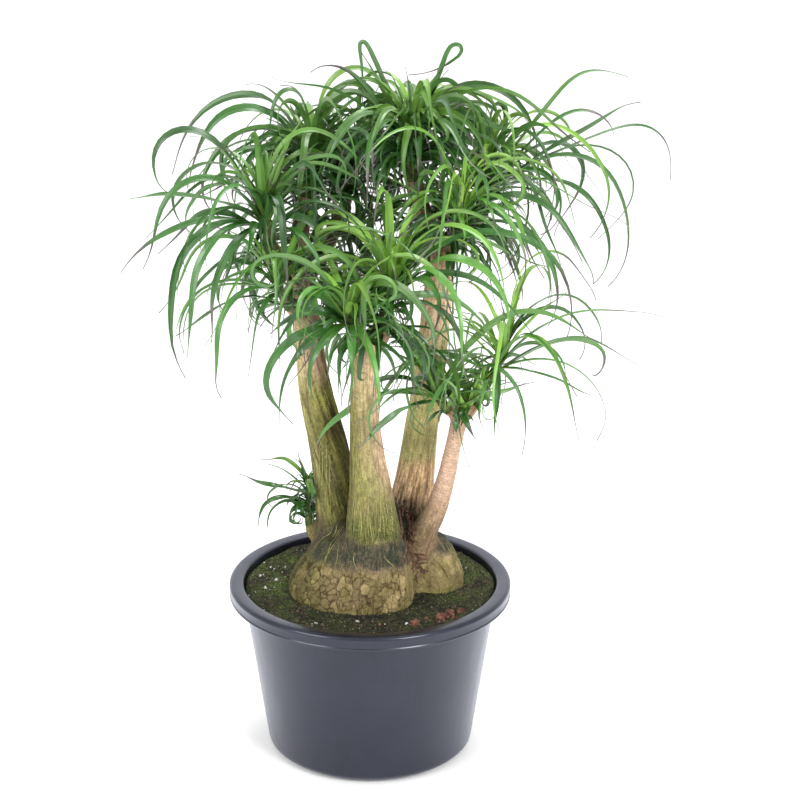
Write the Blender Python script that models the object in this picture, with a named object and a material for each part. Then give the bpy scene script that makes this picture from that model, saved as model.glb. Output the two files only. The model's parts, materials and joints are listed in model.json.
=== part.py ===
"""A ponytail palm in a grower's pot: turned pot, soil, one woody body and the heads of strap leaves."""

import math
import random

import bmesh
import bpy
import numpy as np
from mathutils import Matrix, Vector
from mathutils.bvhtree import BVHTree

# Pot, in metres
RIM_RADIUS = 0.160
RIM_WIDTH = 0.0165
SKIRT_HEIGHT = 0.0155
POT_HEIGHT = 0.200
WALL = 0.0024
WALL_TOP_RADIUS = RIM_RADIUS - RIM_WIDTH + WALL
WALL_FOOT_RADIUS = 0.1180
FOOT_RADIUS = 0.1080
FOOT_HEIGHT = 0.003
CORNER = 0.009
FLOOR = 0.004
DRAIN_HOLES = 6
DRAIN_RADIUS = 0.006
DRAIN_CIRCLE = 0.072
POT_SIDES = 32

# Soil
GAP = 0.0004
SOIL_LEVEL = POT_HEIGHT - 0.0095
SOIL_RINGS = 3

# Woody body: one caudex of three lobes, three trunks, a thin stem and their branches
ROOT_DEPTH = 0.036
LOBE_SIDES = 18
# x, y, radius along x, radius along y, height above the soil where the lobe closes
LOBES = (
    (-0.020, -0.004, 0.073, 0.078, 0.066),
    (0.030, 0.030, 0.066, 0.060, 0.072),
    (0.074, 0.006, 0.033, 0.030, 0.060),
)
LIMB_SIDES = 12
BRANCH_SIDES = 8
CORE_SIDES = 7
# x, y, z, radius at each station
LIMBS = {
    "left_trunk": ((-0.037, 0.010, 0.215, 0.033), (-0.038, 0.010, 0.250, 0.0255),
                   (-0.039, 0.010, 0.300, 0.0225), (-0.045, 0.010, 0.350, 0.0210),
                   (-0.055, 0.010, 0.395, 0.0190), (-0.063, 0.010, 0.440, 0.0170),
                   (-0.069, 0.012, 0.500, 0.0150), (-0.075, 0.016, 0.560, 0.0125)),
    "front_trunk": ((0.005, -0.036, 0.215, 0.042), (0.005, -0.038, 0.250, 0.0340),
                    (0.002, -0.040, 0.285, 0.0290), (0.000, -0.040, 0.325, 0.0230),
                    (-0.004, -0.040, 0.365, 0.0190), (-0.007, -0.040, 0.425, 0.0158),
                    (-0.004, -0.041, 0.480, 0.0160), (-0.001, -0.042, 0.500, 0.0150)),
    "rear_trunk": ((0.044, 0.044, 0.215, 0.036), (0.047, 0.045, 0.270, 0.0265),
                   (0.052, 0.045, 0.315, 0.0220), (0.059, 0.045, 0.375, 0.0190),
                   (0.066, 0.045, 0.425, 0.0180), (0.075, 0.045, 0.525, 0.0160),
                   (0.081, 0.044, 0.590, 0.0155)),
    "thin_stem": ((0.050, -0.002, 0.212, 0.021), (0.058, -0.004, 0.250, 0.0160),
                  (0.074, -0.005, 0.286, 0.0125), (0.084, -0.005, 0.320, 0.0105),
                  (0.091, -0.005, 0.355, 0.0093), (0.101, -0.005, 0.404, 0.0095)),
    "side_stub": ((-0.050, 0.012, 0.236, 0.009), (-0.066, 0.014, 0.248, 0.0065),
                  (-0.069, 0.014, 0.262, 0.0055)),
}
# Which limb each branch grows from is shown by its first station; its last carries a head of leaves
BRANCHES = {
    "left": ((-0.075, 0.016, 0.548, 0.0120), (-0.092, 0.002, 0.568, 0.0100),
             (-0.104, -0.014, 0.586, 0.0095)),
    "left_top": ((-0.075, 0.016, 0.550, 0.0120), (-0.077, 0.038, 0.590, 0.0105),
                 (-0.070, 0.056, 0.628, 0.0095)),
    "left_low": ((-0.070, 0.010, 0.500, 0.0110), (-0.079, -0.012, 0.518, 0.0095),
                 (-0.086, -0.032, 0.532, 0.0085)),
    "mid_top": ((0.078, 0.044, 0.566, 0.0130), (0.058, 0.036, 0.612, 0.0115), (0.046, 0.026, 0.658, 0.0100)),
    "right": ((0.080, 0.043, 0.572, 0.0135), (0.104, 0.046, 0.592, 0.0115), (0.119, 0.048, 0.612, 0.0105)),
    "upper_center": ((0.080, 0.040, 0.570, 0.0130), (0.087, 0.018, 0.584, 0.0110),
                     (0.090, 0.006, 0.598, 0.0100)),
    "back": ((-0.074, 0.018, 0.540, 0.0110), (-0.050, 0.060, 0.572, 0.0100), (-0.030, 0.092, 0.604, 0.0090)),
    "center": ((0.000, -0.042, 0.486, 0.0125), (0.010, -0.044, 0.500, 0.0110),
               (0.014, -0.046, 0.512, 0.0100)),
    "center_low": ((-0.003, -0.042, 0.482, 0.0125), (-0.014, -0.054, 0.498, 0.0105),
                   (-0.017, -0.066, 0.510, 0.0095)),
    "stem_right": ((0.099, -0.005, 0.392, 0.0090), (0.108, -0.006, 0.402, 0.0085),
                   (0.116, -0.007, 0.414, 0.0080)),
    "stem_left": ((0.099, -0.005, 0.392, 0.0085), (0.091, -0.008, 0.402, 0.0078),
                  (0.084, -0.012, 0.408, 0.0070)),
    "side_shoot": ((-0.067, 0.014, 0.252, 0.0060), (-0.069, 0.014, 0.262, 0.0055)),
}

# Heads of leaves. tip is where the bud of a head ends; a leaf is
# (heading, rise, length, droop, bend, softness): it leaves the bud at rise degrees above level towards
# heading (0 is +X, 90 is +Y), and turns down by droop degrees, mostly where bend of its length has passed.
BLADE_WIDTH = 0.0105
BLADE_KEEL = 0.0012
LEAF_LENGTH = 0.265
TRIES = 60
Z_UP = np.array((0.0, 0.0, 1.0))
LONG_LEAVES = (0.14, 0.23)
ROOT_WIDTH = 0.28
HEADS = {
    "left": {
        "tip": (-0.114, -0.028, 0.643), "leaves": 20, "seed": 11, "lowest": 0.43,
        "placed": ((185, 68, 0.235, 200, 0.70, 0.13), (195, 60, 0.210, 140, 0.45, 0.13),
                   (172, 78, 0.185, 125, 0.33, 0.10), (178, 27, 0.145, 30, 0.35, 0.20),
                   (200, 26, 0.175, 66, 0.40, 0.20), (215, 35, 0.255, 150, 0.33, 0.22),
                   (236, 10, 0.165, 95, 0.35, 0.20), (226, 22, 0.205, 115, 0.33, 0.20),
                   (290, 62, 0.175, 152, 0.33, 0.08), (272, 80, 0.135, 172, 0.40, 0.12),
                   (335, 52, 0.205, 130, 0.35, 0.20))},
    "left_top": {
        "tip": (-0.060, 0.068, 0.682), "leaves": 18, "seed": 12, "lowest": 0.45,
        "placed": ((180, 74, 0.225, 158, 0.48, 0.16), (200, 86, 0.165, 172, 0.55, 0.06),
                   (172, 82, 0.250, 150, 0.45, 0.15), (330, 50, 0.235, 120, 0.40, 0.20))},
    "left_low": {
        "tip": (-0.102, -0.056, 0.564), "leaves": 15, "seed": 13, "lowest": 0.40,
        "placed": ((192, 28, 0.165, 115, 0.50, 0.15), (205, 18, 0.180, 125, 0.55, 0.13),
                   (183, 22, 0.150, 95, 0.50, 0.18), (228, 30, 0.185, 135, 0.40, 0.18),
                   (250, 10, 0.150, 95, 0.35, 0.20))},
    "mid_top": {
        "tip": (0.045, 0.020, 0.708), "leaves": 21, "seed": 14, "lowest": 0.50,
        "placed": ((182, 58, 0.155, 75, 0.80, 0.10), (168, 68, 0.205, 168, 0.64, 0.03),
                   (354, 76, 0.225, 225, 0.66, 0.06), (345, 78, 0.200, 170, 0.45, 0.05),
                   (8, 72, 0.220, 140, 0.45, 0.15), (300, 62, 0.165, 150, 0.25, 0.10),
                   (188, 50, 0.175, 45, 0.50, 0.30))},
    "right": {
        "tip": (0.131, 0.052, 0.667), "leaves": 24, "seed": 15, "lowest": 0.46,
        "placed": ((2, 53, 0.205, 72, 0.80, 0.08), (352, 40, 0.195, 12, 0.50, 0.30),
                   (8, 48, 0.215, 138, 0.72, 0.10), (357, 26, 0.250, 104, 0.76, 0.07),
                   (14, 42, 0.220, 190, 0.55, 0.12), (349, 40, 0.270, 165, 0.62, 0.12),
                   (343, 32, 0.280, 116, 0.45, 0.10), (336, 27, 0.230, 116, 0.50, 0.15),
                   (328, 34, 0.140, 150, 0.60, 0.12), (312, 34, 0.165, 140, 0.30, 0.10),
                   (30, 88, 0.190, 178, 0.50, 0.03), (320, 86, 0.205, 170, 0.45, 0.12))},
    "upper_center": {
        "tip": (0.096, -0.036, 0.626), "leaves": 16, "seed": 16, "lowest": 0.43,
        "placed": ((340, 52, 0.205, 118, 0.40, 0.15), (320, 45, 0.190, 125, 0.40, 0.15),
                   (352, 20, 0.190, 100, 0.35, 0.15))},
    "back": {
        "tip": (-0.022, 0.108, 0.650), "leaves": 20, "seed": 17, "lowest": 0.46, "placed": ()},
    "center": {
        "tip": (0.024, -0.054, 0.566), "leaves": 22, "seed": 18, "lowest": 0.40,
        "placed": ((352, 62, 0.300, 150, 0.55, 0.22), (340, 55, 0.205, 130, 0.50, 0.15),
                   (325, 52, 0.130, 170, 0.50, 0.12), (184, 52, 0.135, 110, 0.40, 0.15),
                   (20, 74, 0.150, 60, 0.50, 0.20), (100, 78, 0.150, 60, 0.50, 0.20))},
    "center_low": {
        "tip": (-0.024, -0.104, 0.540), "leaves": 15, "seed": 19, "lowest": 0.36,
        "placed": ((214, 8, 0.185, 150, 0.60, 0.16), (226, 4, 0.155, 90, 0.55, 0.20),
                   (243, 0, 0.125, 105, 0.65, 0.12), (272, 12, 0.155, 112, 0.38, 0.15),
                   (290, 4, 0.135, 92, 0.45, 0.20), (320, 22, 0.145, 112, 0.45, 0.15),
                   (188, 42, 0.095, 85, 0.40, 0.20), (140, 72, 0.110, 80, 0.50, 0.20))},
    "stem_right": {
        "tip": (0.154, -0.013, 0.484), "leaves": 18, "seed": 20, "lowest": 0.33,
        "placed": ((2, 36, 0.175, 80, 0.60, 0.15), (355, 54, 0.200, 66, 0.45, 0.20),
                   (8, 36, 0.205, 120, 0.60, 0.15), (348, 26, 0.185, 112, 0.48, 0.18),
                   (335, 6, 0.125, 32, 0.40, 0.20), (22, 72, 0.205, 150, 0.55, 0.18),
                   (268, 14, 0.130, 112, 0.30, 0.15), (187, 36, 0.125, 45, 0.50, 0.30))},
    "stem_left": {
        "tip": (0.068, -0.022, 0.430), "leaves": 13, "seed": 21, "lowest": 0.32,
        "placed": ((186, 16, 0.165, 72, 0.45, 0.20), (205, 4, 0.115, 46, 0.40, 0.20),
                   (197, 26, 0.165, 185, 0.60, 0.15), (150, 76, 0.135, 62, 0.60, 0.20))},
    "side_shoot": {
        "tip": (-0.070, 0.014, 0.318), "leaves": 10, "seed": 22, "lowest": 0.215, "size": 0.30,
        "placed": ((174, 56, 0.070, 50, 0.50, 0.20), (181, 14, 0.080, -8, 0.50, 0.20),
                   (191, 28, 0.080, 115, 0.58, 0.15), (201, 22, 0.080, 115, 0.50, 0.15),
                   (180, 86, 0.060, 12, 0.50, 0.20))},
}
CANOPY_CENTER = (0.030, 0.010, 0.545)
CANOPY_REACH = (0.275, 0.250, 0.245)
CANOPY_SLACK = 1.35


def clear_scene():
    for obj in list(bpy.data.objects):
        bpy.data.objects.remove(obj, do_unlink=True)


def material(name, color, roughness, metallic=0.0):
    made = bpy.data.materials.new(name)
    made.use_nodes = True
    shader = made.node_tree.nodes["Principled BSDF"]
    shader.inputs["Base Color"].default_value = (*color, 1.0)
    shader.inputs["Roughness"].default_value = roughness
    shader.inputs["Metallic"].default_value = metallic
    return made


def add_object(name, bm, finish=None):
    """Turns the faces of a bmesh outwards and links them as a new object."""
    bmesh.ops.recalc_face_normals(bm, faces=bm.faces)
    mesh = bpy.data.meshes.new(name)
    bm.to_mesh(mesh)
    bm.free()
    mesh.shade_smooth()
    mesh.set_sharp_from_angle(angle=math.radians(40))
    obj = bpy.data.objects.new(name, mesh)
    bpy.context.scene.collection.objects.link(obj)
    if finish:
        mesh.materials.append(finish)
    return obj


def turned(outline, sides):
    """A bmesh of an (r, z) outline spun about the Z axis."""
    bm = bmesh.new()
    points = [bm.verts.new((r, 0.0, z)) for r, z in outline]
    edges = [bm.edges.new(pair) for pair in zip(points, points[1:])]
    bmesh.ops.spin(bm, geom=points + edges, axis=(0, 0, 1), cent=(0, 0, 0), steps=sides,
                   angle=math.tau, use_merge=True)
    bmesh.ops.remove_doubles(bm, verts=bm.verts, dist=1e-6)
    return bm


def arc(center, radius, start, end, steps):
    """Points of a circular arc in the (r, z) plane, in degrees."""
    angles = [math.radians(start + (end - start) * i / steps) for i in range(steps + 1)]
    return [(center[0] + radius * math.cos(a), center[1] + radius * math.sin(a)) for a in angles]


def loft(rings):
    """A closed bmesh through rings of points, with flat ends; a ring of one point is a tip."""
    bm = bmesh.new()
    made = [[bm.verts.new(p) for p in ring] for ring in rings]
    for low, high in zip(made, made[1:]):
        count = max(len(low), len(high))
        for i in range(count):
            j = (i + 1) % count
            corners = [low[i % len(low)], low[j % len(low)], high[j % len(high)], high[i % len(high)]]
            bm.faces.new(list(dict.fromkeys(corners)))
    for ring in (made[0], made[-1]):
        if len(ring) > 2:
            bm.faces.new(ring)
    return bm


def cut(target, cutter):
    """Cuts one object from another and removes the cutter."""
    modifier = target.modifiers.new("cut", "BOOLEAN")
    modifier.operation = "DIFFERENCE"
    modifier.object = cutter
    apply_modifiers(target)
    bpy.data.objects.remove(cutter, do_unlink=True)


def apply_modifiers(obj):
    bpy.context.view_layer.update()
    mesh = bpy.data.meshes.new_from_object(obj.evaluated_get(bpy.context.evaluated_depsgraph_get()))
    obj.modifiers.clear()
    obj.data = mesh


def fuse(name, pieces, finish):
    """Joins the pieces to the first by one Boolean union and keeps the one outer body."""
    group = bpy.data.collections.new(name + "_pieces")
    bpy.context.scene.collection.children.link(group)
    body, *others = pieces
    for piece in others:
        bpy.context.scene.collection.objects.unlink(piece)
        group.objects.link(piece)
    modifier = body.modifiers.new("union", "BOOLEAN")
    modifier.operation = "UNION"
    modifier.operand_type = "COLLECTION"
    modifier.collection = group
    modifier.solver = "MANIFOLD"
    apply_modifiers(body)
    for piece in others:
        bpy.data.objects.remove(piece, do_unlink=True)
    bpy.data.collections.remove(group)
    keep_outer_body(body.data)
    body.name = name
    body.data.materials.clear()
    body.data.materials.append(finish)
    return body


def keep_outer_body(mesh):
    """Drops all but the largest island, so that sealed hollows are filled and scraps go."""
    bm = bmesh.new()
    bm.from_mesh(mesh)
    left = set(bm.verts)
    islands = []
    while left:
        island = set()
        front = [left.pop()]
        while front:
            vert = front.pop()
            island.add(vert)
            near = {edge.other_vert(vert) for edge in vert.link_edges} & left
            left -= near
            front.extend(near)
        islands.append(island)
    islands.sort(key=len)
    for island in islands[:-1]:
        bmesh.ops.delete(bm, geom=list(island), context="VERTS")
    bmesh.ops.triangulate(bm, faces=bm.faces)
    bm.to_mesh(mesh)
    bm.free()


# Pot and soil

def wall_radius(z):
    """Outer radius of the tapered wall at a height."""
    return WALL_FOOT_RADIUS + (WALL_TOP_RADIUS - WALL_FOOT_RADIUS) * (z - CORNER) / (POT_HEIGHT - CORNER)


def pot_outline():
    foot = [(0.0, 0.0), (FOOT_RADIUS, 0.0), (FOOT_RADIUS, FOOT_HEIGHT)]
    corner_center = (wall_radius(FOOT_HEIGHT + CORNER) - CORNER, FOOT_HEIGHT + CORNER)
    corner = arc(corner_center, CORNER, -75, 0, 2)
    under = POT_HEIGHT - 0.0036
    skirt_foot = POT_HEIGHT - SKIRT_HEIGHT
    hollow = RIM_RADIUS - 0.0026
    rim = [(wall_radius(under), under), (hollow, under), (hollow, skirt_foot)]
    rim += [(RIM_RADIUS - 0.0002, skirt_foot)]
    crown = arc((RIM_RADIUS - 0.004, POT_HEIGHT - 0.004), 0.004, 0, 72, 2)
    lip = [(RIM_RADIUS - 0.5 * RIM_WIDTH, POT_HEIGHT)]
    lip += arc((RIM_RADIUS - RIM_WIDTH + 0.003, POT_HEIGHT - 0.0036), 0.003, 100, 180, 2)
    inner_foot = wall_radius(FLOOR + CORNER) - WALL
    inside = [(inner_foot, FLOOR + CORNER), (inner_foot - 0.4 * CORNER, FLOOR + 0.2 * CORNER)]
    inside += [(inner_foot - CORNER, FLOOR), (0.0, FLOOR)]
    return foot + corner + rim + crown + lip + inside


def make_pot():
    pot = add_object("pot", turned(pot_outline(), POT_SIDES),
                     material("pot_plastic", (0.075, 0.085, 0.115), 0.42))
    holes = []
    for i in range(DRAIN_HOLES):
        angle = math.tau * (i + 0.4) / DRAIN_HOLES
        center = Vector((DRAIN_CIRCLE * math.cos(angle), DRAIN_CIRCLE * math.sin(angle), FLOOR / 2))
        place = Matrix.Translation(center)
        bm = bmesh.new()
        bmesh.ops.create_cone(bm, cap_ends=True, segments=8, radius1=DRAIN_RADIUS, radius2=DRAIN_RADIUS,
                              depth=3 * FLOOR, matrix=place)
        holes.append(add_object(f"drain_cutter_{i}", bm))
    for hole in holes:
        cut(pot, hole)
    return pot


def soil_height(x, y):
    """Level of the settled soil, a little higher round the stem and on one side."""
    mound = 0.004 * math.exp(-((x * x + y * y) / 0.0085))
    waves = 0.0009 * math.sin(47 * x + 1.3) * math.cos(39 * y - 0.4) + 0.0006 * math.sin(95 * (x + y))
    return SOIL_LEVEL - 0.001 + mound + waves


def make_soil():
    inner_foot = wall_radius(FLOOR + CORNER) - WALL - GAP
    top_radius = wall_radius(SOIL_LEVEL) - WALL - 1.5 * GAP
    below = [(inner_foot - CORNER, FLOOR + GAP), (inner_foot - 0.45 * CORNER, FLOOR + 0.25 * CORNER + GAP),
             (inner_foot, FLOOR + CORNER + GAP)]
    rings = []
    for radius, z in below:
        rings.append([(radius * math.cos(a), radius * math.sin(a), z) for a in turns(POT_SIDES)])
    for i in range(SOIL_RINGS):
        radius = top_radius * (1 - i / SOIL_RINGS)
        around = [(radius * math.cos(a), radius * math.sin(a)) for a in turns(POT_SIDES)]
        rings.append([(x, y, soil_height(x, y)) for x, y in around])
    rings.append([(0.0, 0.0, soil_height(0.0, 0.0))])
    bm = loft(rings)
    bmesh.ops.triangulate(bm, faces=bm.faces)
    soil = add_object("soil", bm, material("soil", (0.035, 0.034, 0.022), 0.95))
    for i, lobe in enumerate(LOBES):
        cut(soil, make_lobe(f"soil_cutter_{i}", lobe, GAP))
    for i, stone in enumerate(STONES):
        cut(soil, make_stone(f"dimple_cutter_{i}", stone, i, GAP))
    return soil


def turns(count, phase=0.0):
    return [math.tau * i / count + phase for i in range(count)]


# x, y, radius of the bigger lava stones in the soil
STONES = ((0.049, -0.106, 0.0058), (0.078, -0.092, 0.0072), (0.088, -0.083, 0.0060), (0.100, -0.078, 0.0050))


def make_stone(name, stone, seed, grow=0.0):
    """A rough stone, two fifths of it in the soil; grow makes the cutter for its dimple."""
    x, y, radius = stone
    draw = random.Random(40 + seed)
    bm = bmesh.new()
    bmesh.ops.create_icosphere(bm, subdivisions=1, radius=1.0)
    for vert in bm.verts:
        reach = radius * draw.uniform(0.82, 1.1) + grow
        vert.co = Vector((vert.co.x * reach, vert.co.y * reach, vert.co.z * reach * 0.8))
    height = soil_height(x, y) + 0.1 * radius
    bmesh.ops.translate(bm, verts=bm.verts, vec=(x, y, height))
    return add_object(name, bm)


def make_stones():
    finish = material("lava_stone", (0.16, 0.045, 0.030), 0.9)
    for i, stone in enumerate(STONES):
        made = make_stone(f"lava_stone_{i + 1}", stone, i)
        made.data.materials.append(finish)


# Woody body

def make_lobe(name, lobe, grow=0.0):
    """One swollen lobe of the caudex, from its buried foot to where it closes."""
    x, y, reach_x, reach_y, height = lobe
    outline = [(0.70, -ROOT_DEPTH), (0.94, -0.5 * ROOT_DEPTH), (1.0, 0.0)]
    outline += [(0.97, 0.16 * height), (0.87, 0.36 * height), (0.74, 0.56 * height), (0.62, 0.79 * height),
                (0.46, height)]
    rings = []
    for scale, rise in outline:
        z = SOIL_LEVEL + rise - (grow if rise == -ROOT_DEPTH else 0.0)
        across = reach_x * scale + grow
        deep = reach_y * scale + grow
        rings.append([(x + across * math.cos(a), y + deep * math.sin(a), z) for a in turns(LOBE_SIDES)])
    return add_object(name, loft(rings))


def smooth_stations(stations, steps):
    """Catmull-Rom points and radii through the stations."""
    points = [np.array(s) for s in stations]
    points = [2 * points[0] - points[1]] + points + [2 * points[-1] - points[-2]]
    made = []
    for a, b, c, d in zip(points, points[1:], points[2:], points[3:]):
        for i in range(steps):
            t = i / steps
            made.append(0.5 * (2 * b + (c - a) * t + (2 * a - 5 * b + 4 * c - d) * t * t
                               + (3 * b - a - 3 * c + d) * t ** 3))
    made.append(points[-2])
    return made


def make_limb(name, stations, sides, steps=1):
    """A round limb swept along its stations, flat at both ends."""
    line = smooth_stations(stations, steps)
    rings = []
    for i, station in enumerate(line):
        ahead = Vector((line[min(i + 1, len(line) - 1)] - line[max(i - 1, 0)])[:3])
        turn = Vector((0, 0, 1)).rotation_difference(ahead)
        center = Vector(station[:3])
        rings.append([center + turn @ Vector((station[3] * math.cos(a), station[3] * math.sin(a), 0.0))
                      for a in turns(sides)])
    return add_object(name, loft(rings))


def make_woody_body():
    pieces = [make_lobe(f"lobe_{i}", lobe) for i, lobe in enumerate(LOBES)]
    pieces += [make_limb(name, stations, LIMB_SIDES) for name, stations in LIMBS.items()]
    for name, stations in BRANCHES.items():
        if name != "side_shoot":
            pieces.append(make_limb(name, stations, BRANCH_SIDES))
    return fuse("caudex_and_trunks", pieces, material("bark", (0.30, 0.21, 0.11), 0.85))


# Leaves

def leaf_line(start, leaf, fractions):
    """Points and directions along a leaf at these fractions of its length."""
    heading, rise, length, droop, bend, softness = leaf[:6]
    fine = np.linspace(0.0, 1.0, 81)
    turned_by = 1.0 / (1.0 + np.exp(-(fine - bend) / softness))
    turned_by = (turned_by - turned_by[0]) / (turned_by[-1] - turned_by[0])
    pitch = np.radians(rise - droop * turned_by)
    sway = leaf[6] if len(leaf) > 6 else 0.0
    course = np.radians(heading + sway * fine ** 2)
    level = np.stack([np.cos(course), np.sin(course), np.zeros(len(fine))], axis=1)
    ahead = level * np.cos(pitch)[:, None] + Z_UP * np.sin(pitch)[:, None]
    steps = (ahead[1:] + ahead[:-1]) * (0.5 * length / 80)
    points = np.array(start) + np.concatenate([np.zeros((1, 3)), np.cumsum(steps, axis=0)])
    normal = Z_UP * np.cos(pitch)[:, None] - level * np.sin(pitch)[:, None]
    side = np.cross(ahead, normal)
    pick = [np.stack([np.interp(fractions, fine, column) for column in block.T], axis=1)
            for block in (points, side, normal)]
    return pick, turned_by


def leaf_fractions(leaf, rings):
    """Where along its length a leaf needs a ring: evenly, and closer where it bends."""
    fine = np.linspace(0.0, 1.0, 81)
    turned_by = 1.0 / (1.0 + np.exp(-(fine - leaf[4]) / leaf[5]))
    turned_by = (turned_by - turned_by[0]) / (turned_by[-1] - turned_by[0])
    return np.interp(np.linspace(0.0, 1.0, rings + 1), 0.5 * fine + 0.5 * turned_by, fine)


def blade_shape(start, leaf, width):
    """Corners and faces of one three-sided blade, with its keel below."""
    fractions = leaf_fractions(leaf, 4 + sum(leaf[2] > long for long in LONG_LEAVES))
    (points, side, normal), _ = leaf_line(start, leaf, fractions)
    corners = []
    for u, point, across, up in zip(fractions[:-1], points, side, normal):
        half = 0.5 * width * (1.0 - 0.80 * u ** 1.5) * min(1.0, ROOT_WIDTH + 6.0 * u)
        keel = BLADE_KEEL * (1.0 - 0.35 * u)
        corners += [point + across * half, point - across * half, point - up * keel]
    corners.append(points[-1])
    faces = [(0, 1, 2)]
    for ring in range(len(fractions) - 2):
        a = 3 * ring
        for i in range(3):
            j = (i + 1) % 3
            faces += [(a + i, a + 3 + i, a + j), (a + j, a + 3 + i, a + 3 + j)]
    tip = len(corners) - 1
    faces += [(tip - 3 + i, tip, tip - 3 + (i + 1) % 3) for i in range(3)]
    return corners, faces


def grow_heads(woody):
    """Places every leaf: the placed ones of all heads first, then the drawn ones between them."""
    heads = {name: start_head(name) for name in HEADS}
    wood = tree_of(woody.data)
    for name, head in heads.items():
        draw = random.Random(HEADS[name]["seed"])
        for leaf in HEADS[name]["placed"]:
            place_leaf(name, heads, wood, lambda attempt: varied(draw, leaf, attempt), CANOPY_SLACK)
    for name, head in heads.items():
        draw = random.Random(HEADS[name]["seed"] + 100)
        for index in range(HEADS[name]["leaves"]):
            place_leaf(name, heads, wood, lambda attempt: drawn(draw, head, name, index, attempt), 1.0)
    return heads


def start_head(name):
    """The bud of a head, its foot facing the end of its branch; the leaves grow out of it."""
    base = Vector(BRANCHES[name][-1][:3])
    outward = (base - Vector(BRANCHES[name][-2][:3])).normalized()
    base += outward * GAP
    tip = Vector(HEADS[name]["tip"])
    radius = BRANCHES[name][-1][3]
    neck = base + outward * 0.3 * radius
    stations = [(*base, radius), (*neck, radius)]
    stations += [(*base.lerp(tip, 0.6), 0.75 * radius), (*tip, 0.25 * radius)]
    core = make_limb("core_" + name, stations, CORE_SIDES)
    return {"base": base, "tip": tip, "radius": radius, "core": core, "core_tree": tree_of(core.data),
            "size": HEADS[name].get("size", 1.0), "corners": [], "faces": [], "free": [], "leaves": []}


def varied(draw, leaf, attempt):
    """A placed leaf, moved a little further at each attempt."""
    heading, rise, *shape = leaf
    shift = 0.35 * attempt * draw.uniform(-1, 1)
    return draw.uniform(0.35, 0.8), (heading + shift, rise + 0.4 * shift, *shape, draw.uniform(-8, 8)), 1.0


def drawn(draw, head, name, index, attempt):
    """A leaf by its age in the head: the older it is, the lower it starts and the wider it arches."""
    age = (index + 0.5) / HEADS[name]["leaves"]
    axis = head["tip"] - head["base"]
    lean = math.atan2(math.hypot(axis.x, axis.y), axis.z)
    heading = 137.5 * index + draw.uniform(-14, 14) + (attempt > 5) * draw.uniform(-40, 40)
    towards = math.cos(math.radians(heading) - math.atan2(axis.y, axis.x))
    rise = min(88, 82 - 62 * age + draw.uniform(-9, 9) + 0.5 * math.degrees(lean) * towards)
    length = LEAF_LENGTH * draw.uniform(0.65, 1.0) * (0.6 + 0.4 * math.sin(math.pi * min(1.0, 0.25 + age)))
    length *= head["size"] * (1.0 if attempt < 30 else 0.75)
    droop = rise + draw.uniform(35, 92)
    shape = (droop, draw.uniform(0.28, 0.62), draw.uniform(0.09, 0.22), draw.uniform(-25, 25))
    return age, (heading, rise, length, *shape), draw.uniform(0.6, 1.0)


def leaf_root(head, age, heading):
    """Where a leaf starts: inside its bud, towards the side that it leaves by."""
    along = 0.88 - 0.62 * age
    radius = head["radius"] * (0.95 - 0.65 * along)
    course = math.radians(heading)
    axis = (head["tip"] - head["base"]).normalized()
    out = Vector((math.cos(course), math.sin(course), 0.0))
    out = (out - axis * out.dot(axis)).normalized()
    return head["base"].lerp(head["tip"], along) + out * (0.45 * radius)


def place_leaf(name, heads, wood, propose, canopy):
    """Takes the first proposed leaf that is clear of the wood, the other heads and most of its own."""
    head = heads[name]
    for attempt in range(TRIES):
        age, leaf, wide = propose(attempt)
        width = BLADE_WIDTH * wide * (0.7 if head["size"] < 1.0 else 1.0)
        start = leaf_root(head, age, leaf[0])
        corners, faces = blade_shape(start, leaf, width)
        corners = [tuple(corner) for corner in corners]
        if not in_reach(corners, HEADS[name], canopy):
            continue
        if not clear_of_others(corners, faces, name, heads, wood):
            continue
        free = BVHTree.FromPolygons(corners, [face for face in faces if min(face) >= 3])
        if sum(bool(free.overlap(other)) for other in head["free"]) > attempt // 25:
            continue
        offset = len(head["corners"])
        head["corners"] += corners
        head["faces"] += [tuple(offset + i for i in face) for face in faces]
        head["tree"] = BVHTree.FromPolygons(head["corners"], head["faces"])
        head["free"].append(free)
        head["leaves"].append((start, leaf, width))
        return


def in_reach(corners, head, canopy):
    """Whether a blade stays in the canopy, scaled by this much, and above the lowest level of its head."""
    points = np.array(corners)
    reach = np.linalg.norm((points - CANOPY_CENTER) / CANOPY_REACH, axis=1).max()
    return points[:, 2].min() > head["lowest"] and (reach < canopy or "size" in head)


def clear_of_others(corners, faces, name, heads, wood):
    blade = BVHTree.FromPolygons(corners, faces)
    others = [head for key, head in heads.items() if key != name]
    trees = [wood] + [head["core_tree"] for head in others]
    trees += [head["tree"] for head in others if "tree" in head]
    return not any(blade.overlap(tree) for tree in trees)


def tree_of(mesh):
    return BVHTree.FromPolygons([v.co[:] for v in mesh.vertices], [p.vertices[:] for p in mesh.polygons])


def make_blade(start, leaf, width):
    corners, faces = blade_shape(start, leaf, width)
    bm = bmesh.new()
    verts = [bm.verts.new(corner) for corner in corners]
    for face in faces:
        bm.faces.new([verts[i] for i in face])
    return add_object("blade", bm)


def make_heads(woody):
    finish = material("leaf", (0.075, 0.20, 0.045), 0.45)
    for name, head in grow_heads(woody).items():
        fuse("leaves_" + name, [head["core"]] + [make_blade(*leaf) for leaf in head["leaves"]], finish)


def main():
    clear_scene()
    make_pot()
    make_soil()
    make_stones()
    make_heads(make_woody_body())


main()
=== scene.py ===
import json
import math
import random
from collections import namedtuple

import bmesh
import bpy
import numpy as np
from mathutils import Matrix, Vector, noise
from mathutils.bvhtree import BVHTree

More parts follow.
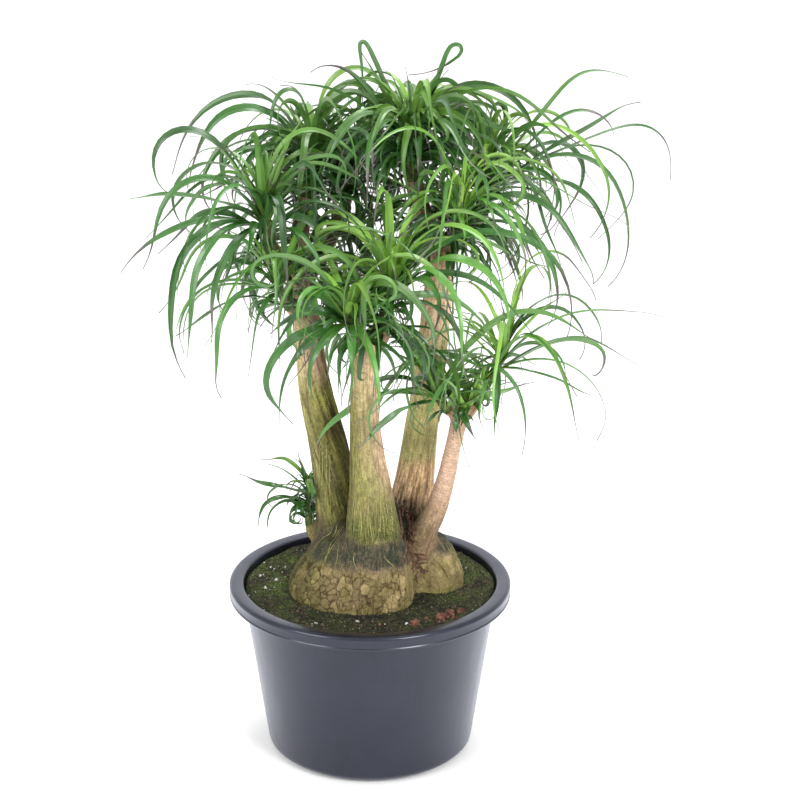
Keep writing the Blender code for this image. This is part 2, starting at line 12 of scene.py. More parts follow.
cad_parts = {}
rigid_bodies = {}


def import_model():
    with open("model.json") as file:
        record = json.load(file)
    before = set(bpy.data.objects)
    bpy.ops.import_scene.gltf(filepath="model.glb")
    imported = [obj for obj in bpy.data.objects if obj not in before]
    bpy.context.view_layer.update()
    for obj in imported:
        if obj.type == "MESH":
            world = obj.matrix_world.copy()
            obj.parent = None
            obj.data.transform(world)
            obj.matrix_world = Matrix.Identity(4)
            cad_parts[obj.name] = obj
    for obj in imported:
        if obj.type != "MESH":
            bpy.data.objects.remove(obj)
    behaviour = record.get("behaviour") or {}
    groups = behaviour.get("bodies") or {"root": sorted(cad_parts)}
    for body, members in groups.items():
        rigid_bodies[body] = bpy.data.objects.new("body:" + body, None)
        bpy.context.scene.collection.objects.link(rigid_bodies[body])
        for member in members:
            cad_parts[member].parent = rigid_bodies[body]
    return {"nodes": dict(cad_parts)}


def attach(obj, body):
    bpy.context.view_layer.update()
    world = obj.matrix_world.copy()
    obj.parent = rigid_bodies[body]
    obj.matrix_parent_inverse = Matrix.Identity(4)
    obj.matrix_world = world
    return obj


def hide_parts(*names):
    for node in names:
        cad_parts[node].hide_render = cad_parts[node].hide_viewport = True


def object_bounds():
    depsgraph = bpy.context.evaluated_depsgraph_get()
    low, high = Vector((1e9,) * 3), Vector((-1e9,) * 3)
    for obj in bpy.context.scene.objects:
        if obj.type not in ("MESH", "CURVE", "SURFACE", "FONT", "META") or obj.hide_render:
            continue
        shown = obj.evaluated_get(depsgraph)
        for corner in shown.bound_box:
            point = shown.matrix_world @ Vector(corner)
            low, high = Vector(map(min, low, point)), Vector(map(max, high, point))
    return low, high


for startObject in list(bpy.data.objects):
    bpy.data.objects.remove(startObject, do_unlink=True)
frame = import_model()
cadLow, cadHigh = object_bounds()
print("frame loaded")


# Helpers for nodes and meshes

def linear(red, green, blue):
    # display values from 0 to 255 as the linear ones that sockets take
    values = [v / 255 for v in (red, green, blue)]
    return tuple(v / 12.92 if v <= 0.04045 else ((v + 0.055) / 1.055) ** 2.4 for v in values) + (1.0,)


def addNode(tree, kind, inputs=None, **settings):
    made = tree.nodes.new(kind)
    for key, value in settings.items():
        setattr(made, key, value)
    for key, value in (inputs or {}).items():
        if isinstance(value, bpy.types.NodeSocket):
            tree.links.new(value, made.inputs[key])
        else:
            made.inputs[key].default_value = value
    return made


class Finish:
    # a procedural material; its methods give back the sockets that they make
    def __init__(self, name, **uniform):
        self.material = bpy.data.materials.new(name)
        self.material.use_nodes = True
        self.tree = self.material.node_tree
        self.shader = self.tree.nodes["Principled BSDF"]
        for key, value in uniform.items():
            self.shader.inputs[key.replace("_", " ")].default_value = value
        self.place = self.node("TexCoord").outputs["Object"]

    def node(self, kind, inputs=None, **settings):
        return addNode(self.tree, "ShaderNode" + kind, inputs, **settings)

    def stretched(self, x, y, z, place=None):
        place = self.place if place is None else place
        return self.node("Mapping", {"Vector": place, "Scale": (x, y, z)}).outputs[0]

    def noise(self, scale, detail=3.0, rough=0.55, distortion=0.0, place=None):
        place = self.place if place is None else place
        return self.node("TexNoise", {"Vector": place, "Scale": scale, "Detail": detail, "Roughness": rough,
                                      "Distortion": distortion}).outputs[0]

    def read(self, name, output="Fac"):
        return self.node("Attribute", attribute_name=name).outputs[output]

    def maths(self, operation, first, second=0.0, clamp=False):
        return self.node("Math", {0: first, 1: second}, operation=operation, use_clamp=clamp).outputs[0]

    def times(self, first, second, clamp=False):
        return self.maths("MULTIPLY", first, second, clamp)

    def ramp(self, factor, *stops):
        made = self.node("ValToRGB", {"Fac": factor})
        band = made.color_ramp
        while len(band.elements) < len(stops):
            band.elements.new(0.5)
        for element, (place, color) in zip(band.elements, stops):
            element.position = place
            element.color = color if hasattr(color, "__len__") else (color, color, color, 1.0)
        return made.outputs[0]

    def lines(self, pattern, middle, wide, strength):
        # thin winding lines where a pattern passes its middle
        return self.ramp(pattern, (middle - wide, 0.0), (middle, strength), (middle + wide, 0.0))

    def mix(self, factor, first, second, blend="MIX"):
        return self.node("Mix", {0: factor, 6: first, 7: second}, data_type="RGBA",
                         blend_type=blend).outputs[2]

    def over(self, tone, pattern, low, high, color, most=1.0):
        # lays a colour over a tone where the pattern is high
        return self.mix(self.ramp(pattern, (low, 0.0), (high, most)), tone, color)

    def under(self, tone, pattern, low, high, color):
        # lays a colour over a tone where the pattern is low
        return self.mix(self.ramp(pattern, (low, 1.0), (high, 0.0)), tone, color)

    def shade(self, tone, pattern, *stops):
        return self.mix(1.0, tone, self.ramp(pattern, *stops), "MULTIPLY")

    def bump(self, height, strength, distance, before=None):
        inputs = {"Height": height, "Strength": strength, "Distance": distance}
        if before is not None:
            inputs["Normal"] = before
        return self.node("Bump", inputs).outputs[0]

    def done(self, **links):
        for key, socket in links.items():
            self.tree.links.new(socket, self.shader.inputs[key.replace("_", " ")])
        return self.material


def turns(count, phase=0.0):
    return [math.tau * i / count + phase for i in range(count)]


def rises(low, high, values):
    # a smooth step from 0 to 1
    t = np.clip((values - low) / (high - low), 0.0, 1.0)
    return t * t * (3 - 2 * t)


def metres(rows):
    return tuple(tuple(value / 1000 for value in row) for row in rows)


def addPiece(name, mesh, material, sharp=40):
    if isinstance(mesh, bmesh.types.BMesh):
        bmesh.ops.recalc_face_normals(mesh, faces=mesh.faces)
        made = bpy.data.meshes.new(name)
        mesh.to_mesh(made)
        mesh.free()
        mesh = made
    mesh.name = name
    mesh.materials.clear()
    if material:
        mesh.materials.append(material)
    mesh.shade_smooth()
    mesh.set_sharp_from_angle(angle=math.radians(sharp))
    piece = bpy.data.objects.new(name, mesh)
    bpy.context.scene.collection.objects.link(piece)
    return piece


def settle(piece, slotName, *nodes):
    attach(piece, "root")
    if nodes:
        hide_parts(*nodes)


def evaluated(piece):
    bpy.context.view_layer.update()
    return bpy.data.meshes.new_from_object(piece.evaluated_get(bpy.context.evaluated_depsgraph_get()))


def bridge(bm, rings):
    # joins closed rings of the same number of vertices
    for low, high in zip(rings, rings[1:]):
        for i in range(len(low)):
            j = (i + 1) % len(low)
            bm.faces.new((low[i], low[j], high[j], high[i]))


def store(mesh, name, values):
    # keeps a number or a vector for each vertex
    values = np.ascontiguousarray(values, np.float32)
    kind, field = ("FLOAT", "value") if values.ndim == 1 else ("FLOAT_VECTOR", "vector")
    mesh.attributes.new(name, kind, "POINT").data.foreach_set(field, values.ravel())


def meshTree(mesh):
    return BVHTree.FromPolygons([v.co[:] for v in mesh.vertices], [p.vertices[:] for p in mesh.polygons])


def newTree(name, sockets):
    # a geometry node tree with named inputs, and functions that make and read its nodes
    tree = bpy.data.node_groups.new(name, "GeometryNodeTree")
    tree.interface.new_socket("Geometry", in_out="INPUT", socket_type="NodeSocketGeometry")
    tree.interface.new_socket("Geometry", in_out="OUTPUT", socket_type="NodeSocketGeometry")
    for label, kind in sockets.items():
        tree.interface.new_socket(label, in_out="INPUT", socket_type="NodeSocket" + kind)
    given = addNode(tree, "NodeGroupInput").outputs

    def make(kind, inputs=None, output=0, **settings):
        outputs = addNode(tree, kind, inputs, **settings).outputs
        return [socket for socket in outputs if socket.enabled][output]

    def end(geometry):
        real = make("GeometryNodeRealizeInstances", {"Geometry": geometry})
        dressed = make("GeometryNodeSetMaterial", {"Geometry": real, "Material": given["Finish"]})
        tree.links.new(dressed, addNode(tree, "NodeGroupOutput").inputs[0])
        return tree

    return given, make, end


def grown(source, tree, values):
    # runs a geometry node tree on a helper mesh and gives back the plain mesh
    helper = bpy.data.objects.new("helper", source)
    bpy.context.scene.collection.objects.link(helper)
    modifier = helper.modifiers.new(tree.name, "NODES")
    modifier.node_group = tree
    for item in tree.interface.items_tree:
        if item.item_type == "SOCKET" and item.in_out == "INPUT" and item.name in values:
            modifier[item.identifier] = values[item.name]
    made = evaluated(helper)
    helper.modifiers.clear()
    bpy.data.objects.remove(helper, do_unlink=True)
    return made


# Camera, light and floor

cameraSettings = {"lens": 85.95, "distance": 2.0, "height": 1.0816, "tiltDown": 18.485, "swing": 0.894}


def makeCamera(s):
    data = bpy.data.cameras.new("camera")
    data.lens = s["lens"]
    data.sensor_width = 36.0
    camera = bpy.data.objects.new("camera", data)
    tilt = Matrix.Rotation(math.radians(90 - s["tiltDown"]), 4, "X")
    swing = Matrix.Rotation(math.radians(-s["swing"]), 4, "Y")
    camera.matrix_world = Matrix.Translation((0, -s["distance"], s["height"])) @ tilt @ swing
    bpy.context.scene.collection.objects.link(camera)
    bpy.context.scene.camera = camera


studioSettings = {
    "sky": 0.86, "floorTone": 0.93, "floorGlow": 0.12,
    "halfWidth": 7.0, "front": -6.0, "bend": 2.2, "bendRadius": 1.5, "backHeight": 6.0,
    # place, aim height, size, watts
    "lamps": (((1.5, -2.2, 1.9), 0.35, 0.9, 50.0),
              ((-1.8, -1.6, 1.5), 0.40, 1.2, 30.0),
              ((0.2, 0.6, 2.4), 0.40, 1.2, 34.0)),
}


def makeStudio(s):
    scene = bpy.context.scene
    scene.view_settings.view_transform = "Standard"
    scene.world = bpy.data.worlds.new("softSky")
    scene.world.use_nodes = True
    sky = scene.world.node_tree.nodes["Background"].inputs
    sky["Color"].default_value = (1, 1, 1, 1)
    sky["Strength"].default_value = s["sky"]
    for i, (place, aim, size, watts) in enumerate(s["lamps"]):
        data = bpy.data.lights.new(f"softbox{i}", "AREA")
        data.size = size
        data.energy = watts
        lamp = bpy.data.objects.new(f"softbox{i}", data)
        lamp.location = place
        lamp.rotation_euler = (Vector((0, 0, aim)) - Vector(place)).to_track_quat("-Z", "Y").to_euler()
        scene.collection.objects.link(lamp)
    bend, curve = s["bend"], s["bendRadius"]
    profile = [(s["front"], 0.0), (bend, 0.0)]
    profile += [(bend + curve * math.sin(a), curve - curve * math.cos(a))
                for a in np.radians(range(6, 91, 6))]
    profile.append((bend + curve, s["backHeight"]))
    bm = bmesh.new()
    rows = [[bm.verts.new((x, y, z)) for x in (-s["halfWidth"], s["halfWidth"])] for y, z in profile]
    for low, high in zip(rows, rows[1:]):
        bm.faces.new((low[0], low[1], high[1], high[0]))
    look = Finish("paleFloor", Roughness=0.85, Emission_Color=(1, 1, 1, 1), Emission_Strength=s["floorGlow"])
    tone = look.ramp(look.noise(3.0), (0.2, s["floorTone"] * 0.995), (0.8, s["floorTone"]))
    addPiece("floor", bm, look.done(Base_Color=tone))


makeCamera(cameraSettings)
makeStudio(studioSettings)
print("camera and studio made")


# Pot

potSettings = {
    "rimRadius": 0.160, "rimWidth": 0.0165, "skirtHeight": 0.0155, "height": 0.200, "wall": 0.0024,
    "wallFoot": 0.1180, "foot": 0.1080, "footHeight": 0.003, "corner": 0.009, "floor": 0.004,
    "holes": 6, "holeRadius": 0.006, "holeCircle": 0.072, "sides": 192,
}
soilLevel = potSettings["height"] - 0.0095


def arc(x, z, radius, start, end, steps):
    angles = [math.radians(start + (end - start) * i / steps) for i in range(steps + 1)]
    return [(x + radius * math.cos(a), z + radius * math.sin(a)) for a in angles]


def fromCorner(x, z, offsets):
    # outline points, in millimetres from a corner
    return [(x + across / 1000, z + up / 1000) for across, up in offsets]


def wallRadius(z, s=potSettings):
    top = s["rimRadius"] - s["rimWidth"] + s["wall"]
    return s["wallFoot"] + (top - s["wallFoot"]) * (z - s["corner"]) / (s["height"] - s["corner"])


def potOutline(s):
    corner, high, rim, low = s["corner"], s["height"], s["rimRadius"], s["footHeight"] + s["corner"]
    step = high - s["skirtHeight"] - 0.004  # a faint moulded step below the skirt
    under = high - 0.0036
    skirtFoot = high - s["skirtHeight"]
    insideFoot = wallRadius(s["floor"] + corner) - s["wall"]
    return [
        (0.0, 0.0012), *fromCorner(s["foot"], 0.0, ((-6, 1.2), (-5, 0), (-0.6, 0), (0, 0.6), (0, 3))),
        *arc(wallRadius(low) - corner, low, corner, -80, 0, 8),
        *fromCorner(wallRadius(step), step, ((0, 0), (0.8, 1))),
        *fromCorner(wallRadius(under), under, ((0.2, 0),)),
        *fromCorner(rim - 0.0026, under, ((-1, 0), (0, -1))),
        *fromCorner(rim, skirtFoot, ((-2.6, 0.5), (-2.1, 0), (-0.6, 0), (-0.2, 0.6), (-0.2, 1.6),
                                     (-0.8, 2.6))),
        *fromCorner(rim, high, ((-0.8, -6.2),)),
        *arc(rim - 0.0042, high - 0.0042, 0.0042, 0, 84, 9),
        (rim - 0.5 * s["rimWidth"], high - 0.0002),
        *arc(rim - s["rimWidth"] + 0.003, high - 0.0036, 0.003, 96, 180, 6),
        (insideFoot, s["floor"] + corner), (insideFoot - 0.4 * corner, s["floor"] + 0.2 * corner),
        (insideFoot - corner, s["floor"]), (0.0, s["floor"]),
    ]


def makePot(s):
    bm = bmesh.new()
    points = [bm.verts.new((r, 0.0, z)) for r, z in potOutline(s)]
    edges = [bm.edges.new(pair) for pair in zip(points, points[1:])]
    bmesh.ops.spin(bm, geom=points + edges, axis=(0, 0, 1), cent=(0, 0, 0), steps=s["sides"],
                   angle=math.tau, use_merge=True)
    bmesh.ops.remove_doubles(bm, verts=bm.verts, dist=1e-6)
    whole = addPiece("wholePot", bm, None)
    bm = bmesh.new()
    for a in turns(s["holes"], 0.4 * math.tau / s["holes"]):
        place = Matrix.Translation((s["holeCircle"] * math.cos(a), s["holeCircle"] * math.sin(a), 0.002))
        bmesh.ops.create_cone(bm, cap_ends=True, segments=24, radius1=s["holeRadius"],
                              radius2=s["holeRadius"], depth=0.02, matrix=place)
    drill = addPiece("drill", bm, None)
    cut = whole.modifiers.new("drainHoles", "BOOLEAN")
    cut.operation = "DIFFERENCE"
    cut.object = drill
    mesh = evaluated(whole)
    for helper in (drill, whole):
        bpy.data.objects.remove(helper, do_unlink=True)
    settle(addPiece("growerPot", mesh, potPlastic(plasticTones), 28), "pot_plastic", "pot")


plasticTones = {"body": linear(17, 18, 27), "worn": linear(38, 40, 50), "dust": linear(112, 110, 106),
                "shine": linear(222, 228, 255), "coat": linear(228, 232, 255)}


def potPlastic(s):
    look = Finish("satinSlatePlastic", Specular_IOR_Level=0.35, Specular_Tint=s["shine"], Coat_Tint=s["coat"],
                  Coat_Weight=0.7, Coat_Roughness=0.20)
    flow = look.noise(70.0, 3.0, place=look.stretched(1, 1, 0.16))  # faint upright flow marks
    scuffs = look.noise(160.0, 5.0, 0.7, place=look.stretched(1, 1, 3.0))
    tone = look.over(s["body"], look.noise(14.0, 4.0), 0.35, 0.7, s["worn"], 0.35)
    tone = look.over(tone, flow, 0.45, 0.75, s["worn"], 0.22)
    tone = look.over(tone, scuffs, 0.68, 0.78, s["dust"], 0.28)
    normal = look.bump(flow, 0.25, 0.0006, look.bump(look.noise(900.0, 2.0), 0.12, 0.0002))
    return look.done(Base_Color=tone, Roughness=look.ramp(flow, (0.2, 0.30), (0.8, 0.42)), Normal=normal)


makePot(potSettings)
print("pot made")


# Soil: a bed with a rough top, and what lies on it

soilSettings = {"rings": 96, "sides": 288, "gap": 0.0004, "lift": 0.0022, "chamfer": 0.009}
# x, y, radius along x and along y of what the caudex covers
caudexSpread = ((-0.020, -0.004, 0.073, 0.078), (0.030, 0.030, 0.066, 0.060), (0.074, 0.006, 0.033, 0.030))


def patchAt(x, y, centerX, centerY, wide, deep):
    return math.exp(-(((x - centerX) / wide) ** 2 + ((y - centerY) / deep) ** 2))


def soilHeight(x, y):
    # the settled level: a low mound, a rise at the wall and slow waves
    mound = 0.004 * math.exp(-((x * x + y * y) / 0.0085))
    mound += 0.0034 * min(1.0, max(0.0, (math.hypot(x, y) - 0.112) / 0.024)) ** 1.5
    waves = 0.0009 * math.sin(47 * x + 1.3) * math.cos(39 * y - 0.4) + 0.0006 * math.sin(95 * (x + y))
    return soilLevel - 0.001 + mound + waves


def soilRelief(x, y):
    # clods, crumbs and hollows on the settled level
    point = Vector((x, y, 0.0))
    clods = noise.fractal(point * 55.0, 0.9, 2.1, 4)
    crumbs = abs(noise.noise(point * 340.0)) + 0.5 * abs(noise.noise(point * 720.0))
    return soilSettings["lift"] * (0.45 * clods + 0.75 * crumbs - 0.25)


def mossAt(x, y):
    # moss grows mostly on the left, and thinly all round
    spread = patchAt(x, y, -0.105, 0.035, 0.045, 0.075) + 0.55 * patchAt(x, y, 0.115, 0.01, 0.03, 0.05)
    patches = 0.5 + 0.9 * noise.fractal(Vector((x, y, 0.3)) * 42.0, 1.0, 2.0, 3)
    return max(0.0, min(1.0, (spread + 0.30) * patches))


def makeSoil(s):
    inner = wallRadius(soilLevel) - potSettings["wall"] - 1.5 * s["gap"]
    foot = wallRadius(potSettings["floor"] + potSettings["corner"]) - potSettings["wall"] - s["gap"]
    bottom = potSettings["floor"] + s["gap"]
    bm = bmesh.new()
    around = turns(s["sides"])
    rings = [[bm.verts.new((radius * math.cos(a), radius * math.sin(a), z)) for a in around]
             for radius, z in ((foot - s["chamfer"], bottom), (foot, bottom + s["chamfer"]))]
    moss = [0.0] * (2 * s["sides"])
    for i in range(s["rings"]):
        radius = inner * (1 - (i / s["rings"]) ** 0.92)
        edge = min(1.0, i / 4)  # the outer rings stay smooth and a little lower
        rings.append([])
        for a in around:
            x, y = radius * math.cos(a), radius * math.sin(a)
            z = soilHeight(x, y) + edge * soilRelief(x, y) - 0.002 * (1 - edge)
            rings[-1].append(bm.verts.new((x, y, z)))
            moss.append(mossAt(x, y))
    bridge(bm, rings)
    bm.faces.new(rings[0][::-1])
    top = bm.verts.new((0, 0, soilHeight(0, 0)))
    moss.append(0.0)
    for i in range(s["sides"]):
        bm.faces.new((rings[-1][i], rings[-1][(i + 1) % s["sides"]], top))
    bm.verts.index_update()
    soil = addPiece("soilBed", bm, mossyPeat(soilTones), 180)
    store(soil.data, "moss", moss)
    settle(soil, "soil", "soil")
    return soil


soilTones = {"peat": linear(30, 31, 24), "bark": linear(66, 62, 46), "grey": linear(92, 94, 84),
             "moss": linear(58, 74, 30), "brightMoss": linear(104, 122, 52)}


def mossyPeat(s):
    look = Finish("mossyPeat", Roughness=0.95, Specular_IOR_Level=0.2)
    fine = look.noise(420.0, 4.0, 0.65)
    tone = look.over(s["peat"], look.noise(120.0, 4.0, 0.6), 0.42, 0.68, s["bark"])
    tone = look.over(tone, look.noise(700.0, 2.0), 0.66, 0.74, s["grey"], 0.8)
    green = look.over(s["moss"], fine, 0.4, 0.7, s["brightMoss"])
    cover = look.times(look.read("moss"), look.ramp(fine, (0.34, 0.1), (0.6, 1.0)), True)
    tone = look.shade(look.mix(cover, tone, green), fine, (0.25, 0.45), (0.6, 1.15))
    return look.done(Base_Color=tone, Normal=look.bump(fine, 0.9, 0.0012))


def gritTree():
    # scatters rough little chunks over a surface, by the density painted on it
    given, make, end = newTree("scatterGrit", {
        "Density": "Float", "Seed": "Int", "Smallest": "Float", "Largest": "Float", "Flatness": "Float",
        "Roughness": "Float", "Fineness": "Int", "Finish": "Material"})
    painted = make("GeometryNodeInputNamedAttribute", {"Name": "density"}, data_type="FLOAT")
    density = make("ShaderNodeMath", {0: painted, 1: given["Density"]}, operation="MULTIPLY")
    points = make("GeometryNodeDistributePointsOnFaces",
                  {"Mesh": given["Geometry"], "Density": density, "Seed": given["Seed"]})
    ball = make("GeometryNodeMeshIcoSphere", {"Radius": 1.0, "Subdivisions": given["Fineness"]})
    turned = make("FunctionNodeRandomValue", {"Seed": given["Seed"], "Max": (math.tau, math.tau, math.tau)},
                  data_type="FLOAT_VECTOR")
    # 2 and 3 are the smallest and the largest number of a random float
    size = make("FunctionNodeRandomValue",
                {"Seed": given["Seed"], 2: given["Smallest"], 3: given["Largest"]}, data_type="FLOAT")
    shape = make("ShaderNodeCombineXYZ", {0: 1.0, 1: 0.8, 2: given["Flatness"]})
    scale = make("ShaderNodeVectorMath", {0: shape, "Scale": size}, operation="SCALE")
    copies = make("GeometryNodeInstanceOnPoints",
                  {"Points": points, "Instance": ball, "Rotation": turned, "Scale": scale})
    real = make("GeometryNodeRealizeInstances", {"Geometry": copies})
    wobble = make("ShaderNodeTexNoise", {"Vector": make("GeometryNodeInputPosition"), "Scale": 650.0,
                                         "Detail": 1.0}, 1)
    centered = make("ShaderNodeVectorMath", {0: wobble, 1: (0.5, 0.5, 0.5)}, operation="SUBTRACT")
    push = make("ShaderNodeVectorMath", {0: centered, "Scale": given["Roughness"]}, operation="SCALE")
    return end(make("GeometryNodeSetPosition", {"Geometry": real, "Offset": push}))


def chunkFinish(name, tones, broad, fine):
    look = Finish(name, Roughness=0.92)
    small = look.noise(fine, 3.0, 0.7)
    stops = ((0.3 + 0.4 * i / (len(tones) - 1), tone) for i, tone in enumerate(tones))
    tone = look.shade(look.ramp(look.noise(broad, 2.0), *stops), small, (0.25, 0.55), (0.65, 1.1))
    return look.done(Base_Color=tone, Normal=look.bump(small, 0.8, 0.0008))


# density a square metre, seed, smallest and largest radius, flatness, roughness, fineness, slot, tones
gritKinds = {
    "barkCrumbs": (42000, 3, 0.0006, 0.0019, 0.45, 0.0016, 1, "soil",
                   (linear(24, 23, 18), linear(52, 48, 36), linear(88, 82, 66))),
    "barkChips": (3000, 5, 0.0016, 0.0036, 0.35, 0.0022, 2, "soil",
                  (linear(38, 34, 26), linear(78, 68, 50), linear(104, 96, 78))),
    "strawFlecks": (24000, 13, 0.0005, 0.0013, 0.30, 0.0010, 1, "soil",
                    (linear(84, 80, 58), linear(122, 118, 90), linear(158, 156, 128))),
    "perliteGrit": (5200, 7, 0.0006, 0.0027, 0.6, 0.0022, 2, "soil",
                    (linear(150, 148, 136), linear(205, 205, 196), linear(232, 232, 226))),
    "lavaGrit": (6000, 9, 0.0010, 0.0030, 0.75, 0.0022, 2, "lava_stone",
                 (linear(66, 40, 32), linear(104, 66, 54), linear(138, 100, 84))),
    "mossCushions": (52000, 11, 0.0005, 0.0013, 0.7, 0.0014, 1, "soil",
                     (linear(46, 62, 24), linear(74, 92, 38), linear(128, 142, 70))),
}
# where grit lies in heaps: share, x, y, width and depth
gritHeaps = {
    "perliteGrit": ((1.0, -0.118, 0.040, 0.016, 0.030), (0.9, -0.030, -0.108, 0.045, 0.009),
                    (0.7, -0.108, -0.012, 0.014, 0.014)),
    "lavaGrit": ((1.6, 0.085, -0.092, 0.030, 0.016), (0.5, 0.035, -0.115, 0.02, 0.01)),
}


def gritDensity(kind, x, y):
    # nothing lies under the wood or against the wall
    bare = all(((x - cx) / rx) ** 2 + ((y - cy) / ry) ** 2 > 0.96 for cx, cy, rx, ry in caudexSpread)
    if math.hypot(x, y) > 0.1395 or not bare:
        return 0.0
    if kind in gritHeaps:
        return sum(share * patchAt(x, y, *heap) for share, *heap in gritHeaps[kind]) + 0.035
    if kind == "mossCushions":
        return max(0.0, mossAt(x, y) - 0.30) * 1.6
    return 0.6 + 0.8 * abs(noise.noise(Vector((x, y, 0.0)) * 30.0))


def makeGrit(soil):
    tree = gritTree()
    bed = [v.co.copy() for v in soil.data.vertices]
    top = [p.vertices[:] for p in soil.data.polygons if p.normal.z > 0.1 and p.center.z > soilLevel - 0.012]
    for kind, (density, seed, least, most, flat, rough, fine, slotName, tones) in gritKinds.items():
        skin = bpy.data.meshes.new("soilSkin")
        skin.from_pydata(bed, [], top)
        store(skin, "density", [gritDensity(kind, v.x, v.y) for v in bed])
        finish = chunkFinish(kind + "Finish", tones, 260.0, 1500.0)
        mesh = grown(skin, tree, {"Density": float(density), "Seed": seed, "Smallest": least, "Largest": most,
                                  "Flatness": flat, "Roughness": rough, "Fineness": fine, "Finish": finish})
        settle(addPiece(kind, mesh, finish, 30), slotName)
        print(" ", kind, len(mesh.polygons), "faces")


stoneSettings = {
    # x, y and radius
    "places": ((0.049, -0.106, 0.0058), (0.078, -0.092, 0.0072), (0.088, -0.083, 0.0060),
               (0.100, -0.078, 0.0050)),
    "shape": (1.05, 1.0, 0.85), "sink": 0.15, "seed": 40,
    "tones": (linear(72, 42, 35), linear(112, 70, 58), linear(146, 108, 92)),
}


def makeStones(s):
    finish = chunkFinish("redLava", s["tones"], 180.0, 900.0)
    for i, (x, y, radius) in enumerate(s["places"]):
        draw = random.Random(s["seed"] + i)
        shift = Vector((draw.uniform(-9, 9), draw.uniform(-9, 9), draw.uniform(-9, 9)))
        bm = bmesh.new()
        bmesh.ops.create_icosphere(bm, subdivisions=4, radius=1.0)
        for vert in bm.verts:
            pits = abs(noise.noise(vert.co * 4.0 + shift)) + 0.5 * abs(noise.noise(vert.co * 10.0 + shift))
            reach = radius * (0.94 + 0.48 * noise.noise(vert.co * 1.9 + shift) - 0.26 * pits)
            vert.co = [value * reach * size for value, size in zip(vert.co, s["shape"])]
        bmesh.ops.translate(bm, verts=bm.verts, vec=(x, y, soilHeight(x, y) + s["sink"] * radius))
        settle(addPiece(f"lavaStone{i + 1}", bm, finish, 180), "lava_stone", f"lava_stone_{i + 1}")


soilBed = makeSoil(soilSettings)
makeGrit(soilBed)
makeStones(stoneSettings)
print("soil, grit and stones made")


# Woody body: one skin over the caudex, the trunks, the thin stem and their branches

woodSettings = {"voxel": 0.00218, "smoothing": 12, "rootDepth": 0.014, "cutDepth": 0.009, "footDrop": 0.028,
                "footSpread": 1.05, "fineHeight": 0.062, "lobeSides": 64, "limbSides": 40, "branchSides": 20}
# x, y, radius along x and along y, height above the soil, and the outline as share of radius and height
lobeOutline = ((1.0, 0.0), (0.97, 0.16), (0.87, 0.36), (0.74, 0.56), (0.62, 0.79), (0.46, 1.0))
swellOutline = ((1.0, 0.0), (1.0, 0.20), (0.975, 0.40), (0.90, 0.60), (0.76, 0.80), (0.5, 1.0))
lobes = (
    (-0.020, -0.004, 0.073, 0.078, 0.066, lobeOutline),
    (0.030, 0.030, 0.066, 0.060, 0.072, lobeOutline),
    (0.074, 0.006, 0.033, 0.030, 0.060, lobeOutline),
    (-0.004, -0.017, 0.054, 0.0615, 0.076, swellOutline),  # joins the front trunk to the caudex
)
# x, y, z and radius at each station, in millimetres
limbs = {
    "left_trunk": ((-37, 10, 215, 33), (-38, 10, 250, 25.5), (-39, 10, 300, 22.5), (-45, 10, 350, 21),
                   (-55, 10, 395, 19), (-63, 10, 440, 17), (-69, 12, 500, 15), (-75, 16, 560, 12.5)),
    "front_trunk": ((5, -36, 215, 42), (5, -38, 250, 34), (2, -40, 285, 29), (0, -40, 325, 23),
                    (-4, -40, 365, 19), (-7, -40, 425, 15.8), (-4, -41, 480, 16), (-1, -42, 500, 15)),
    "rear_trunk": ((44, 44, 215, 36), (47, 45, 270, 26.5), (52, 45, 315, 22), (59, 45, 375, 19),
                   (66, 45, 425, 18), (75, 45, 525, 16), (81, 44, 590, 15.5)),
    "thin_stem": ((50, -2, 212, 21), (58, -4, 250, 16), (74, -5, 286, 12.5), (84, -5, 320, 10.5),
                  (91, -5, 355, 9.3), (101, -5, 404, 9.5)),
    "side_stub": ((-50, 12, 236, 9), (-66, 14, 248, 6.5), (-69, 14, 262, 5.5)),
}
branches = {
    "left": ((-75, 16, 548, 12), (-92, 2, 568, 10), (-104, -14, 586, 9.5)),
    "left_top": ((-75, 16, 550, 12), (-77, 38, 590, 10.5), (-70, 56, 628, 9.5)),
    "left_low": ((-70, 10, 500, 11), (-79, -12, 518, 9.5), (-86, -32, 532, 8.5)),
    "mid_top": ((78, 44, 566, 13), (58, 36, 612, 11.5), (46, 26, 658, 10)),
    "right": ((80, 43, 572, 13.5), (104, 46, 592, 11.5), (119, 48, 612, 10.5)),
    "upper_center": ((80, 40, 570, 13), (87, 18, 584, 11), (90, 6, 598, 10)),
    "back": ((-74, 18, 540, 11), (-50, 60, 572, 10), (-30, 92, 604, 9)),
    "center": ((0, -42, 486, 12.5), (10, -44, 500, 11), (14, -46, 512, 10)),
    "center_low": ((-3, -42, 482, 12.5), (-14, -54, 498, 10.5), (-17, -66, 510, 9.5)),
    "stem_right": ((99, -5, 392, 9), (108, -6, 402, 8.5), (116, -7, 414, 8)),
    "stem_left": ((99, -5, 392, 8.5), (91, -8, 402, 7.8), (84, -12, 408, 7)),
    "side_shoot": ((-67, 14, 252, 6), (-69, 14, 262, 5.5)),
}
limbs = {name: metres(stations) for name, stations in limbs.items()}
branches = {name: metres(stations) for name, stations in branches.items()}
grownBranches = {name: stations for name, stations in branches.items() if name != "side_shoot"}


def smoothStations(stations, steps):
    points = [np.array(s) for s in stations]
    points = [2 * points[0] - points[1]] + points + [2 * points[-1] - points[-2]]
    made = []
    for a, b, c, d in zip(points, points[1:], points[2:], points[3:]):
        for t in (i / steps for i in range(steps)):
            made.append(0.5 * (2 * b + (c - a) * t + (2 * a - 5 * b + 4 * c - d) * t * t
                               + (3 * b - a - 3 * c + d) * t ** 3))
    return np.array(made + [points[-2]])


